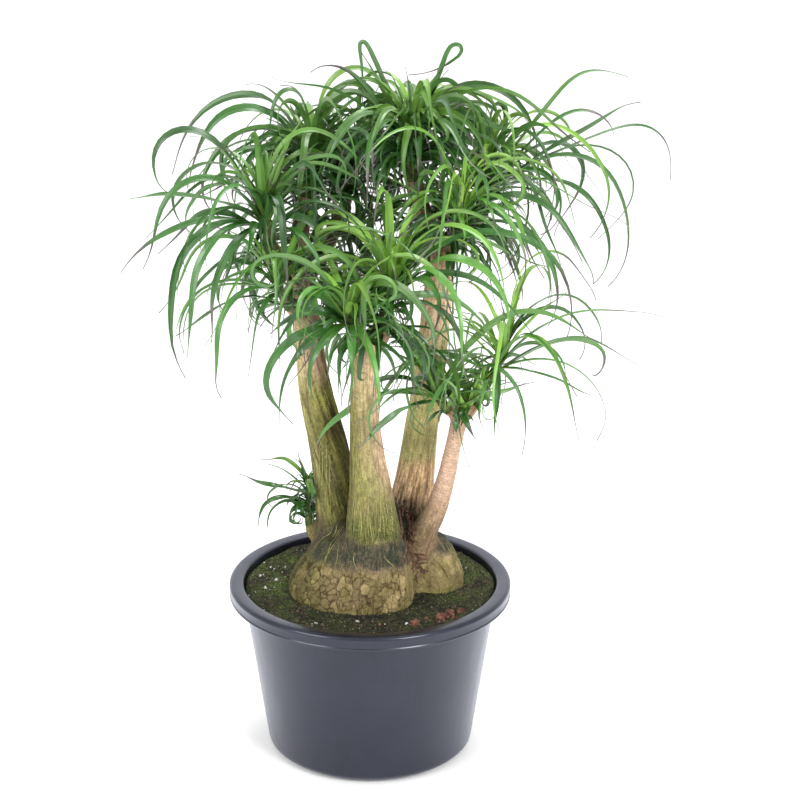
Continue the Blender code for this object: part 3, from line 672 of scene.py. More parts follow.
def loftInto(bm, rings):
    made = [[bm.verts.new(p) for p in ring] for ring in rings]
    bridge(bm, made)
    bm.faces.new(made[0][::-1])
    bm.faces.new(made[-1])


def sweepInto(bm, line, sides):
    rings = []
    for i, station in enumerate(line):
        ahead = Vector((line[min(i + 1, len(line) - 1)] - line[max(i - 1, 0)])[:3])
        turn = Vector((0, 0, 1)).rotation_difference(ahead)
        center, radius = Vector(station[:3]), station[3]
        rings.append([center + turn @ Vector((radius * math.cos(a), radius * math.sin(a), 0.0))
                      for a in turns(sides)])
    loftInto(bm, rings)


def lobeInto(bm, x, y, reachX, reachY, height, outline, s):
    below = [(0.86, -s["rootDepth"]), (0.97, -0.5 * s["rootDepth"])]
    loftInto(bm, [[(x + reachX * scale * math.cos(a), y + reachY * scale * math.sin(a), soilLevel + rise)
                   for a in turns(s["lobeSides"])]
                  for scale, rise in below + [(scale, rise * height) for scale, rise in outline]])


def woodShell(s):
    bm = bmesh.new()
    for lobe in lobes:
        lobeInto(bm, *lobe, s)
    for name, stations in limbs.items():
        if name.endswith("trunk"):
            x, y, z, radius = stations[0]
            stations = ((x, y, z - s["footDrop"], radius * s["footSpread"]), *stations)
        sweepInto(bm, smoothStations(stations, 5), s["limbSides"])
    for stations in grownBranches.values():
        sweepInto(bm, smoothStations(stations, 4), s["branchSides"])
    shell = addPiece("woodShell", bm, None)
    remesh = shell.modifiers.new("skin", "REMESH")
    remesh.mode = "VOXEL"
    remesh.voxel_size = s["voxel"]
    soften = shell.modifiers.new("soften", "SMOOTH")
    soften.factor = 0.5
    soften.iterations = s["smoothing"]
    mesh = evaluated(shell)
    bpy.data.objects.remove(shell, do_unlink=True)
    # what is deep in the soil is cut off flat, and the part with the fine plates gets smaller faces
    bm = bmesh.new()
    bm.from_mesh(mesh)
    everything = bm.verts[:] + bm.edges[:] + bm.faces[:]
    bmesh.ops.bisect_plane(bm, geom=everything, plane_co=(0, 0, soilLevel - s["cutDepth"]),
                           plane_no=(0, 0, 1), clear_inner=True)
    bmesh.ops.holes_fill(bm, edges=[e for e in bm.edges if e.is_boundary], sides=0)
    low, high = soilLevel - 0.004, soilLevel + s["fineHeight"]
    fine = [e for e in bm.edges if all(low < v.co.z < high for v in e.verts)]
    bmesh.ops.subdivide_edges(bm, edges=fine, cuts=1, use_grid_fill=True)
    bm.to_mesh(mesh)
    bm.free()
    return mesh


def readVectors(verts, field):
    flat = np.empty(len(verts) * 3, np.float32)
    verts.foreach_get(field, flat)
    return flat.reshape(-1, 3).astype(float)


def nearestOnLine(points, line):
    # distance from the line less its radius, length along it and the offset from it
    best = np.full(len(points), 1e9)
    along = np.zeros(len(points))
    offset = np.zeros((len(points), 3))
    passed = 0.0
    for a, b in zip(line, line[1:]):
        step = b[:3] - a[:3]
        length = np.linalg.norm(step)
        t = np.clip((points - a[:3]) @ step / length ** 2, 0.0, 1.0)
        away = points - (a[:3] + t[:, None] * step)
        distance = np.linalg.norm(away, axis=1) - (a[3] + t * (b[3] - a[3]))
        closer = distance < best
        best = np.where(closer, distance, best)
        along = np.where(closer, passed + t * length, along)
        offset = np.where(closer[:, None], away, offset)
        passed += length
    return best, along, offset


def lobeDistance(points):
    best = np.full(len(points), 1e9)
    for x, y, reachX, reachY, height, outline in lobes:
        rise = (points[:, 2] - soilLevel) / height
        reach = np.interp(rise, [v for _, v in outline], [v for v, _ in outline])
        across = np.hypot((points[:, 0] - x) / reachX, (points[:, 1] - y) / reachY)
        distance = (across - reach) * 0.5 * (reachX + reachY) + np.maximum(rise - 1.0, 0.0) * height
        best = np.minimum(best, distance)
    return best


def noiseAt(points, scale, octaves=1):
    scaled = points * np.array(scale)
    if octaves == 1:
        return np.array([noise.noise(Vector(p)) for p in scaled])
    return np.array([noise.fractal(Vector(p), 0.9, 2.1, octaves) for p in scaled])


shareSettings = {
    "fade": 0.0035, "inside": -0.02, "limbReach": 0.03, "caudexReach": 0.004, "caudexTop": (0.272, 0.282),
    # the height at which each limb takes over from the caudex, and over how much
    "starts": {"left_trunk": (0.272, 0.012), "front_trunk": (0.2700, 0.004), "rear_trunk": (0.252, 0.010),
               "thin_stem": (0.231, 0.007), "side_stub": (0.240, 0.008)},
    "twists": {"left_trunk": 7.0, "front_trunk": 1.5, "rear_trunk": -3.0},
    "bulbRadius": 0.070,
}


def barkShares(points, s=shareSettings):
    # how far each point belongs to each limb, and where it lies in that limb's own measure
    lines = {name: smoothStations(stations, 5) for name, stations in limbs.items()}
    lines |= {name: smoothStations(stations, 3) for name, stations in grownBranches.items()}
    found = {name: nearestOnLine(points, line) for name, line in lines.items()}
    ragged = 0.004 * noiseAt(points + 7.0, 70) + 0.003 * noiseAt(points + 1.0, (190, 190, 60))
    share = {}
    for name, (distance, _, _) in found.items():
        distance = distance + 0.001 * (name in branches)
        share[name] = np.exp(-np.clip(distance, s["inside"], s["limbReach"]) / s["fade"])
        if name in s["starts"]:
            start, soft = s["starts"][name]
            share[name] *= rises(start - soft, start + soft, points[:, 2] + ragged)
    share["caudex"] = np.exp(-np.clip(lobeDistance(points), s["inside"], s["caudexReach"]) / s["fade"])
    share["caudex"] *= 1 - rises(*s["caudexTop"], points[:, 2])
    total = sum(share.values()) + 1e-6
    share = {name: value / total for name, value in share.items()}
    nearest = np.full(len(points), 1e9)
    grain = points.copy()
    for name, (distance, along, offset) in found.items():
        mine = (distance < nearest) & (share["caudex"] < 0.5)
        nearest = np.where(distance < nearest, distance, nearest)
        turn = s["twists"].get(name, 0.0) * along
        flat = np.stack([offset[:, 0] * np.cos(turn) - offset[:, 1] * np.sin(turn),
                         offset[:, 0] * np.sin(turn) + offset[:, 1] * np.cos(turn),
                         along + 0.3 * len(name)], axis=1)
        grain = np.where(mine[:, None], flat, grain)
    course = np.arctan2(points[:, 1], points[:, 0] + 0.004)
    wrapped = np.stack([s["bulbRadius"] * np.cos(course), s["bulbRadius"] * np.sin(course),
                        points[:, 2]], axis=1)
    grain = np.where((share["caudex"] >= 0.5)[:, None], wrapped, grain)
    return share, found, grain


plateSettings = {"scale": (112, 112, 92), "top": 0.075, "wander": ((0.7, 0.38), (2.3, 0.15))}


def wanderAt(point):
    # three unlike readings of the same noise, one for each axis
    return Vector([noise.noise(point + Vector((shift, 2 * shift, -shift)))
                   for shift in (0.0, 31.7, 57.3)])


def platesAt(points, s=plateSettings):
    # cracked plates: nearness to a crack, and a tone for each plate
    edge, tone = np.ones(len(points)), np.zeros(len(points))
    for i in np.flatnonzero(points[:, 2] <= soilLevel + s["top"]):
        q = Vector(points[i] * s["scale"])
        wander = [wanderAt(q * scale) * reach for scale, reach in s["wander"]]
        distances, centers = noise.voronoi(q + (wander[0] + wander[1]))
        edge[i] = distances[1] - distances[0]
        tone[i] = noise.cell(centers[0] * 3.7 + Vector((0.5, 0.5, 0.5)))
    return edge, tone


# one side of a limb: limb, compass heading and spread in degrees
barkSides = {
    "ridge": ("left_trunk", 200, 44), "leftFibres": ("left_trunk", -35, 45),
    "leftWorn": ("left_trunk", -35, 55), "stemLeft": ("thin_stem", -150, 40),
    "frontRight": ("front_trunk", -15, 40), "frontLeft": ("front_trunk", 205, 55),
    "frontRosy": ("front_trunk", 200, 50), "frontPale": ("front_trunk", -85, 38),
    "frontWorn": ("front_trunk", -150, 22), "rearRight": ("rear_trunk", -10, 45),
    "rearWorn": ("rear_trunk", -160, 45),
}
# a round spot: center and reach, in millimetres
barkSpots = {
    "crustBulge": ((0, -75, 240), (30, 50, 100)), "dent": ((100, 8, 249), (18, 40, 13)),
    "knob": ((44, -24, 254), (10, 12, 8)), "greenPatch": ((35, -60, 205), (16, 30, 16)),
    "hollow": ((42, 14, 268), (20, 24, 19)), "between": ((-19, -6, 281), (9, 26, 26)),
    "rearFoot": ((34, 20, 278), (20, 30, 18)), "cleft": ((52, -36, 205), (6, 10, 16)),
    "seam": ((2, -70, 272), (26, 30, 1000)),
}
# the heights over which a look comes in on its way up, in millimetres
barkBands = {
    "ridge": (262, 290), "ridgeEnd": (410, 460), "front": (305, 375), "frontRight": (292, 325),
    "frontLeft": (450, 510), "left": (415, 455), "rear": (315, 340), "rearEnd": (390, 450),
    "stemFoot": (280, 300), "lobeFoot": (224, 236), "frontFoot": (270, 290), "moss": (274, 312),
    "rosy": (410, 455), "rosyRight": (300, 340), "fibres": (315, 345), "leftFibres": (300, 340),
    "leftWorn": (420, 470), "frontWorn": (300, 330), "frontPale": (295, 330),
    "rearPaintedLight": (320, 345), "paleEnd": (440, 500), "rearDim": (325, 350), "rearLight": (355, 385),
    "rearTop": (430, 480), "frontTop": (400, 450), "frontDim": (274, 306), "leftTop": (385, 420),
    "stem": (262, 330),
}


def facing(offset, degrees, spread):
    # 1 where the bark faces this way round its limb, falling off over the spread
    away = np.angle(np.exp(1j * (np.arctan2(offset[:, 1], offset[:, 0]) - math.radians(degrees))))
    return np.exp(-(away / math.radians(spread)) ** 2)


def spotAt(points, name):
    center, reach = metres(barkSpots[name])
    return np.exp(-(((points - np.array(center)) / np.array(reach)) ** 2).sum(axis=1))


def bandAt(heights, name):
    low, high = barkBands[name]
    return rises(low / 1000, high / 1000, heights)


def carveBark(points, share, found, grain):
    # how far the skin stands out in ribs, fissures, plates and rings, and where the crust and its cracks are
    z, rise = points[:, 2], points[:, 2] - soilLevel
    front, left, rear = (share[name] for name in ("front_trunk", "left_trunk", "rear_trunk"))
    caudex, stem = share["caudex"], share["thin_stem"]
    branch = sum(share[name] for name in grownBranches)
    ribs = noiseAt(grain, (70, 70, 7))
    fissures = np.abs(noiseAt(grain + 0.5, (125, 125, 9)))
    edge, plateTone = platesAt(points)
    cracked = rises(-0.55, 0.10, noiseAt(points + 4.0, 38) - 8.0 * (points[:, 0] - 0.004))
    cracked *= 0.72 + 0.28 * rises(-0.30, 0.20, noiseAt(points + 8.0, 80))
    crustTop = 0.0455 + 0.005 * noiseAt(points + 5.0, (60, 60, 20)) + 0.003 * noiseAt(points, (170, 170, 60))
    crustTop += 0.005 * spotAt(points, "crustBulge")
    crust = caudex * (1 - rises(crustTop - 0.006, crustTop + 0.005, rise))
    plateCrack = (1 - rises(0.012, 0.125, edge)) * (0.22 + 0.78 * cracked)
    fissure = (1 - rises(0.02, 0.13, fissures)) * (0.9 * left + 0.45 * rear + 0.25 * front)
    ridge = facing(found["left_trunk"][2], *barkSides["ridge"][1:]) * left * bandAt(z, "ridge")
    push = 0.0012 * ribs * (front + left + rear + 0.5 * branch) - 0.0011 * fissure
    push += 0.0016 * ridge * (0.6 + 0.4 * ribs) * (1 - bandAt(z, "ridgeEnd"))
    push += crust * (0.0008 - 0.0015 * plateCrack + 0.0005 * plateTone)
    push += caudex * 0.0022 * noiseAt(points + 3.0, (26, 26, 17)) * rises(0.0, 0.02, rise)
    push += caudex * (1 - crust) * 0.0007 * noiseAt(grain + 6.0, (120, 120, 22))
    push -= 0.006 * caudex * spotAt(points, "dent")
    push += 0.0035 * (spotAt(points, "knob") * (stem + caudex))
    rings = np.sin(found["thin_stem"][1] * math.tau / 0.0034 + 1.5 * noiseAt(points, 60))
    push += stem * (0.00012 * rings + 0.0005 * noiseAt(points, (110, 110, 60)))
    crack = np.clip(crust * plateCrack + fissure * 0.85, 0, 1)
    return push, ridge, {"crust": crust, "crack": crack, "plateTone": plateTone}


def barkLooks(points, rise, patches, share, found, ridge, crust):
    # where each look of the bark shows, from 0 to 1
    z = points[:, 2]
    ragged = z + 0.016 * patches
    front, left, rear = (share[name] for name in ("front_trunk", "left_trunk", "rear_trunk"))
    caudex, stem = share["caudex"], share["thin_stem"]
    side = {name: facing(found[limb][2], *where) for name, (limb, *where) in barkSides.items()}

    def up(name, heights=z):
        return bandAt(heights, name)

    def down(name, heights=z):
        return 1 - bandAt(heights, name)

    flank = facing(points - np.array((-0.01, 0.0, 0.0)), 190, 42)
    rightLobe = rises(0.078, 0.098, points[:, 0])
    algae = front * np.clip(1.1 - 1.05 * up("front", ragged) - 0.45 * side["frontRight"] * up("frontRight")
                            + 0.95 * side["frontLeft"] * down("frontLeft"), 0, 1)
    algae += left * np.clip(1.0 - 0.85 * up("left", ragged), 0, 1)
    algae += rear * np.clip(0.50 * up("rear", ragged) * down("rearEnd", ragged)
                            * (1 - 0.6 * side["rearRight"]) + 0.06, 0, 1)
    algae += caudex * np.clip(0.10 + 0.60 * flank + 0.12 * rightLobe + 0.30 * (1 - rises(0.0, 0.010, rise))
                              + 0.2 * spotAt(points, "greenPatch"), 0, 1)
    algae += share["side_stub"] + stem * 0.35 * side["stemLeft"] * down("stemFoot")
    damp = caudex * (1 - crust) * (1 - 0.15 * flank) * (1 - 0.75 * rightLobe * down("lobeFoot", ragged))
    damp = np.clip(damp + 0.3 * front * down("frontFoot", ragged), 0, 1)
    rosy = (front + left + rear) * up("rosy", ragged) * (1 - 0.6 * side["frontRosy"] * front)
    rosy += 0.8 * front * side["frontRight"] * up("rosyRight", ragged)
    # painted shade in the hollow among the trunks and the thin stem, in the crevice between the left and
    # front trunks and in a cleft low on the caudex; at the rear trunk's foot a patch of soot
    soot = 1.15 * spotAt(points, "hollow") + 0.7 * spotAt(points, "between")
    soot += 0.6 * (spotAt(points, "rearFoot") * rear) + 0.8 * spotAt(points, "cleft")
    fibres = rear * down("fibres", ragged) + 0.6 * left * side["leftFibres"] * down("leftFibres")
    weather = left * (0.12 + 0.88 * side["leftWorn"]) * (1 - 0.6 * up("leftWorn"))
    weather += 0.35 * front * side["frontWorn"] * up("frontWorn") + 0.10 * rear * side["rearWorn"]
    seam = np.exp(-((z - 0.2722) / 0.0017) ** 2) * spotAt(points, "seam")
    pale = 0.7 * ridge + 0.9 * seam * rises(0.0, 0.4, noiseAt(points, 190))
    pale += 0.50 * front * up("frontPale", ragged) * side["frontPale"] * down("paleEnd")
    # on the rear trunk the pale colour is painted light, against the shade that the leaves above cast there
    pale += 0.85 * rear * up("rearPaintedLight", ragged) * down("paleEnd")
    # painted light and shade: how much lighter or darker the bark is painted than its tone, with 0.5 as it
    # is; lighter on the rear trunk, the tops of the trunks, the front trunk's right side and the right of the
    # crust, darker on the caudex's left flank and dark band, at the front trunk's foot and low on the left
    # trunk
    paintedLight = rear * (0.65 * up("rearLight") + 0.35 * up("rearTop") - 0.10 + 0.40 * down("rearDim"))
    paintedLight += front * (0.38 * up("frontTop") + 0.35 * side["frontRight"] * up("rosyRight") - 0.10
                      - 0.20 * down("frontDim"))
    paintedLight += left * (0.40 * up("leftTop") - 0.15)
    paintedLight += caudex * (0.38 * crust * rises(-0.005, 0.030, points[:, 0]) * (1 - rightLobe) + 0.12 * rightLobe
                       - 0.28 * flank * (0.4 + 0.6 * crust) - 0.12 * (1 - crust))
    return {"algae": np.clip(algae * (1.0 + 0.5 * patches), 0, 1),
            "damp": damp * np.clip(0.94 + 0.15 * patches, 0.8, 1),
            "moss": front * down("moss", ragged), "rosy": rosy, "soot": soot, "fibres": fibres,
            "weather": weather,
            "pale": pale, "paintedLight": 0.5 * (1.0 + np.clip(paintedLight, -0.5, 1.0)), "papery": stem,
            "stem": stem * up("stem", ragged), "along": found["thin_stem"][1]}


def makeWood(s):
    mesh = woodShell(s)
    points = readVectors(mesh.vertices, "co")
    normals = readVectors(mesh.vertices, "normal")
    share, found, grain = barkShares(points)
    rise, patches = points[:, 2] - soilLevel, noiseAt(points + 2.0, (30, 30, 18), 3)
    push, ridge, masks = carveBark(points, share, found, grain)
    points += normals * push[:, None]
    mesh.vertices.foreach_set("co", points.astype(np.float32).ravel())
    mesh.update()
    masks |= barkLooks(points, rise, patches, share, found, ridge, masks["crust"])
    for name, values in masks.items():
        store(mesh, name, np.clip(values, 0, 1))
    store(mesh, "grain", grain)
    wood = addPiece("caudexAndTrunks", mesh, palmBark(barkTones), 180)
    settle(wood, "bark", "caudex_and_trunks")
    print("  wood", sum(len(p.vertices) - 2 for p in mesh.polygons), "triangles")
    return wood


barkTones = {
    "cork": linear(190, 166, 134), "corkDark": linear(136, 108, 82), "corkPink": linear(188, 150, 126),
    "algae": linear(134, 134, 62), "algaeDark": linear(78, 84, 34), "plate": linear(136, 119, 86),
    "platePale": linear(190, 168, 124), "plateOlive": linear(122, 112, 68), "damp": linear(38, 45, 36),
    "dampGrey": linear(80, 86, 68), "crack": linear(70, 52, 31), "soot": linear(44, 34, 27),
    "fibre": linear(212, 178, 140), "fibreDark": linear(138, 108, 78), "pale": linear(184, 180, 118),
    "stem": linear(210, 177, 152), "stemLine": linear(176, 142, 116), "thread": linear(192, 182, 116),
    "rosy": linear(218, 184, 158), "rosyDark": linear(158, 124, 100), "moss": linear(112, 128, 46),
    "mossDark": linear(58, 70, 24), "weather": linear(94, 84, 46), "weatherDark": linear(50, 42, 26),
    "papery": linear(160, 130, 102),
}


def palmBark(s):
    look = Finish("palmBark", Roughness=0.88, Specular_IOR_Level=0.25)
    grain = look.read("grain", "Vector")
    long, longer = look.stretched(1, 1, 0.085, grain), look.stretched(1, 1, 0.045, grain)
    streaks = look.noise(300.0, 4.0, 0.62, place=long)
    fine = look.noise(620.0, 4.0, 0.65)
    blots = look.noise(60.0, 4.0, 0.6)

    def where(name, share=1.0, clamp=False):
        # how much of a look shows, as painted on the bark
        return look.times(look.read(name), share, clamp)

    cork = look.over(s["cork"], blots, 0.40, 0.62, s["corkPink"])
    tone = look.under(cork, streaks, 0.36, 0.60, s["corkDark"])
    tone = look.mix(where("fibres"), tone, look.under(s["fibre"], streaks, 0.38, 0.58, s["fibreDark"]))
    tone = look.mix(where("rosy"), tone, look.under(s["rosy"], streaks, 0.36, 0.58, s["rosyDark"]))
    tone = look.mix(where("papery", 0.8), tone, look.under(s["papery"], blots, 0.38, 0.62, s["fibreDark"]))
    plate = look.over(s["plate"], look.read("plateTone"), 0.2, 0.9, s["platePale"])
    tone = look.mix(where("crust"), tone, look.over(plate, blots, 0.38, 0.66, s["plateOlive"], 0.9))
    weathered = look.under(s["weather"], streaks, 0.38, 0.60, s["weatherDark"])
    tone = look.mix(where("weather", 0.85), tone, weathered)
    cover = where("algae", look.ramp(streaks, (0.24, 0.55), (0.55, 1.0)), True)
    green = look.under(s["algae"], look.noise(95.0, 3.0, place=long), 0.38, 0.64, s["algaeDark"])
    tone = look.mix(look.times(cover, 0.92), tone, green)
    tufts = look.over(s["mossDark"], fine, 0.40, 0.66, s["moss"])
    tone = look.mix(where("moss", look.ramp(blots, (0.3, 0.35), (0.6, 0.95))), tone, tufts)
    stained = look.ramp(look.noise(95.0, 4.0, 0.62), (0.38, 0.76), (0.54, 1.0))
    tone = look.mix(where("damp", stained), tone, look.over(s["damp"], fine, 0.40, 0.75, s["dampGrey"]))
    # pale ridges, the seam and the front trunk's pale face, and painted light on the rear trunk
    tone = look.mix(where("pale", 0.8), tone, s["pale"])
    # light threads of fibre that run up the trunks and over the dark band
    thread = look.lines(look.noise(230.0, 2.0, 0.5, 1.1, longer), 0.49, 0.028, 0.72)
    thread = look.times(thread, look.ramp(blots, (0.40, 0.1), (0.62, 1.0)))
    thread = look.times(thread, look.ramp(look.read("damp"), (0.1, 1.0), (0.8, 0.3)))
    covered = look.maths("MAXIMUM", look.read("stem"), look.read("crust"))
    bare = look.maths("SUBTRACT", 1.0, covered, True)
    tone = look.mix(look.times(thread, bare), tone, s["thread"])
    # a net of pale fibres over the moss, and dark fissures where the bark is weathered
    net = look.lines(look.noise(190.0, 3.0, 0.6, 2.6, long), 0.49, 0.028, 0.70)
    tone = look.mix(where("moss", net), tone, s["thread"])
    gaps = look.lines(look.noise(125.0, 2.0, 0.5, 0.3, long), 0.49, 0.025, 0.9)
    tone = look.mix(where("weather", gaps), tone, s["weatherDark"])
    # the smooth skin of the thin stem, with its rings
    height = look.node("CombineXYZ", {2: look.read("along")}).outputs[0]
    rings = look.node("TexWave", {"Vector": height, "Scale": 94.0, "Distortion": 1.6, "Detail": 2.0},
                      bands_direction="Z").outputs["Fac"]
    skin = look.over(s["stem"], rings, 0.45, 0.95, s["stemLine"], 0.42)
    tone = look.mix(where("stem"), tone, look.over(skin, blots, 0.50, 0.80, s["corkDark"], 0.30))
    # cracks between the plates, upright splits in them, and grain over everything
    tone = look.mix(where("crack", 0.9), tone, s["crack"])
    splits = look.lines(look.noise(210.0, 2.0, 0.5, 0.8, long), 0.495, 0.020, 0.8)
    tone = look.mix(where("crust", splits), tone, s["crack"])
    tone = look.shade(tone, fine, (0.30, 0.64), (0.62, 1.12))
    hairs = look.noise(760.0, 3.0, 0.6, place=long)
    tone = look.mix(bare, tone, look.shade(tone, hairs, (0.34, 0.70), (0.62, 1.18)))
    tone = look.shade(tone, look.noise(210.0, 4.0, 0.6), (0.34, 0.80), (0.62, 1.08))
    crazing = look.lines(look.noise(340.0, 3.0, 0.6, 1.4), 0.495, 0.025, 0.75)
    tone = look.mix(look.times(crazing, where("crust", 0.6)), tone, s["crack"])
    # the tone is scaled by the painted light and shade, at twice the stored share
    tone = look.node("VectorMath", {0: tone, "Scale": where("paintedLight", 2.0)}, operation="SCALE").outputs[0]
    # painted shade in the hollows, and the soot at the rear trunk's foot, darken the bark with a broken edge
    shadeAndSootMask = where("soot", look.ramp(fine, (0.3, 1.0), (0.7, 0.78)))
    shadeAndSootMask = look.times(shadeAndSootMask, look.ramp(streaks, (0.40, 1.25), (0.60, 0.70)), True)
    normal = look.bump(fine, 0.5, 0.0005, look.bump(streaks, 0.7, 0.0011))
    return look.done(Base_Color=look.mix(shadeAndSootMask, tone, s["soot"]), Normal=normal)


woodyBody = makeWood(woodSettings)
woodSkin = meshTree(woodyBody.data)
print("woody body made")


# Leaves

leafSettings = {"width": 0.0105, "keel": 0.0012, "length": 0.265, "tries": 60, "gap": 0.0004,
                "longLeaves": (0.14, 0.23), "rootWidth": 0.28, "match": 0.0003, "smallWidth": 0.7}
headDefaults = {"size": 1.0, "thatch": 0, "width": 1.0, "late": 1.9, "tones": (0.0, 1.0), "young": 0.35,
                "wild": False, "folds": {}}
# tip: where the bud ends, in millimetres; leaves: how many are drawn besides the placed ones
# fill: how many more for each that the frame has; hem: how low they hang; thatch: old leaves on the branch
# width and late: how wide leaves are and how late they narrow; tones: darkest and lightest
# young: how bright the youngest are; wild: whether leaves sway more; folds: leaves with one sharp bend
# placed: heading, rise, length in millimetres, droop, and where it bends and how softly in hundredths
heads = {
    "left": {
        "tip": (-114, -28, 643), "leaves": 20, "seed": 11, "fill": 0.5, "hem": 0.485, "thatch": 20,
        "width": 0.95, "late": 2.2, "tones": (0.0, 0.55),
        "placed": ((185, 68, 235, 200, 70, 13), (195, 60, 210, 140, 45, 13), (172, 78, 185, 125, 33, 10),
                   (178, 27, 145, 30, 35, 20), (200, 26, 175, 66, 40, 20), (215, 35, 255, 150, 33, 22),
                   (236, 10, 165, 95, 35, 20), (226, 22, 205, 115, 33, 20), (290, 62, 175, 152, 33, 8),
                   (272, 80, 135, 172, 40, 12), (335, 52, 205, 130, 35, 20))},
    "left_top": {
        "tip": (-60, 68, 682), "leaves": 18, "seed": 12, "fill": 2.0, "hem": 0.51, "thatch": 26,
        "late": 2.3, "tones": (0.0, 0.48),
        "placed": ((180, 74, 225, 158, 48, 16), (200, 86, 165, 172, 55, 6), (172, 82, 250, 150, 45, 15),
                   (330, 50, 235, 120, 40, 20))},
    "left_low": {
        "tip": (-102, -56, 564), "leaves": 15, "seed": 13, "fill": 0.3, "hem": 0.465, "thatch": 10,
        "width": 0.82, "late": 1.7, "tones": (0.15, 1.0),
        "placed": ((192, 28, 165, 115, 50, 15), (205, 18, 180, 125, 55, 13), (183, 22, 150, 95, 50, 18),
                   (228, 30, 185, 135, 40, 18), (250, 10, 150, 95, 35, 20))},
    "mid_top": {
        "tip": (45, 20, 708), "leaves": 21, "seed": 14, "fill": 3.2, "hem": 0.56, "thatch": 32,
        "late": 2.0, "tones": (0.0, 0.50), "young": 0.5, "folds": {1: 0.5, 2: 0.4},
        "placed": ((182, 58, 155, 75, 80, 10), (168, 68, 205, 168, 64, 3), (354, 76, 225, 225, 66, 6),
                   (345, 78, 200, 170, 45, 5), (8, 72, 220, 140, 45, 15), (300, 62, 165, 150, 25, 10),
                   (188, 50, 175, 45, 50, 30))},
    "right": {
        "tip": (131, 52, 667), "leaves": 24, "seed": 15, "fill": 1.0, "hem": 0.53, "thatch": 18,
        "width": 0.82, "late": 1.7, "tones": (0.0, 0.50), "young": 1.0, "wild": True,
        "placed": ((2, 53, 205, 72, 80, 8), (352, 40, 195, 12, 50, 30), (8, 48, 215, 138, 72, 10),
                   (357, 26, 250, 104, 76, 7), (14, 42, 220, 190, 55, 12), (349, 40, 270, 165, 62, 12),
                   (343, 32, 280, 116, 45, 10), (336, 27, 230, 116, 50, 15), (328, 34, 140, 150, 60, 12),
                   (312, 34, 165, 140, 30, 10), (30, 88, 190, 178, 50, 3), (320, 86, 205, 170, 45, 12))},
    "upper_center": {
        "tip": (96, -36, 626), "leaves": 16, "seed": 16, "fill": 1.5, "hem": 0.545, "thatch": 14,
        "width": 0.86, "late": 1.6, "young": 1.0, "wild": True,
        "placed": ((340, 52, 205, 118, 40, 15), (320, 45, 190, 125, 40, 15), (352, 20, 190, 100, 35, 15))},
    "back": {
        "tip": (-22, 108, 650), "leaves": 20, "seed": 17, "fill": 3.0, "hem": 0.52, "thatch": 36,
        "width": 0.95, "late": 1.6, "tones": (0.0, 0.40), "placed": ()},
    "center": {
        "tip": (24, -54, 566), "leaves": 22, "seed": 18, "fill": 1.3, "hem": 0.475, "thatch": 16,
        "young": 1.35,
        "placed": ((352, 62, 300, 150, 55, 22), (340, 55, 205, 130, 50, 15), (325, 52, 130, 170, 50, 12),
                   (184, 52, 135, 110, 40, 15), (20, 74, 150, 60, 50, 20), (100, 78, 150, 60, 50, 20))},
    "center_low": {
        "tip": (-24, -104, 540), "leaves": 15, "seed": 19, "fill": 0.8, "hem": 0.455, "thatch": 8,
        "young": 0.7,
        "placed": ((214, 8, 185, 150, 60, 16), (226, 4, 155, 90, 55, 20), (243, 0, 125, 105, 65, 12),
                   (272, 12, 155, 112, 38, 15), (290, 4, 135, 92, 45, 20), (320, 22, 145, 112, 45, 15),
                   (188, 42, 95, 85, 40, 20), (140, 72, 110, 80, 50, 20))},
    "stem_right": {
        "tip": (154, -13, 484), "leaves": 18, "seed": 20, "fill": 0.0, "hem": 0.43, "thatch": 12,
        "width": 0.82, "late": 1.5, "tones": (0.25, 1.0), "young": 1.0, "wild": True,
        "placed": ((2, 36, 175, 80, 60, 15), (355, 54, 200, 66, 45, 20), (8, 36, 205, 120, 60, 15),
                   (348, 26, 185, 112, 48, 18), (335, 6, 125, 32, 40, 20), (22, 72, 205, 150, 55, 18),
                   (268, 14, 130, 112, 30, 15), (187, 36, 125, 45, 50, 30))},
    "stem_left": {
        "tip": (68, -22, 430), "leaves": 13, "seed": 21, "fill": 0.4, "hem": 0.415, "thatch": 9,
        "placed": ((186, 16, 165, 72, 45, 20), (205, 4, 115, 46, 40, 20), (197, 26, 165, 185, 60, 15),
                   (150, 76, 135, 62, 60, 20))},
    "side_shoot": {
        "tip": (-70, 14, 318), "leaves": 10, "seed": 22, "fill": 1.2, "hem": 0.225, "size": 0.30,
        "tones": (0.0, 0.35),
        "placed": ((174, 56, 70, 50, 50, 20), (181, 14, 80, -8, 50, 20), (191, 28, 80, 115, 58, 15),
                   (201, 22, 80, 115, 50, 15), (180, 86, 60, 12, 50, 20))},
}
Leaf = namedtuple("Leaf", "heading rise length droop bend softness veer")
finely = np.linspace(0.0, 1.0, 81)


def turnedShare(leaf):
    # how much of its turn a leaf has made at each fraction of its length
    share = 1.0 / (1.0 + np.exp(-(finely - leaf.bend) / leaf.softness))
    return (share - share[0]) / (share[-1] - share[0])


def curlShare(curl):
    return (np.maximum(0.0, finely - curl[0]) / (1.0 - curl[0])) ** 1.35


def leafLine(start, leaf, fractions, curl=(0.5, 0.0, 0.0)):
    # a curl is where it starts, how far it turns down and how far it turns sideways
    late = curlShare(curl)
    pitch = np.radians(leaf.rise - leaf.droop * turnedShare(leaf) - curl[1] * late)
    course = np.radians(leaf.heading + leaf.veer * finely ** 2 + curl[2] * late)
    level = np.stack([np.cos(course), np.sin(course), np.zeros(len(finely))], axis=1)
    upward = np.array((0.0, 0.0, 1.0))
    ahead = level * np.cos(pitch)[:, None] + upward * np.sin(pitch)[:, None]
    steps = (ahead[1:] + ahead[:-1]) * (0.5 * leaf.length / (len(finely) - 1))
    points = np.array(start) + np.concatenate([np.zeros((1, 3)), np.cumsum(steps, axis=0)])
    normal = upward * np.cos(pitch)[:, None] - level * np.sin(pitch)[:, None]
    side = np.cross(ahead, normal)
    return [np.stack([np.interp(fractions, finely, column) for column in block.T], axis=1)
            for block in (points, side, normal)]


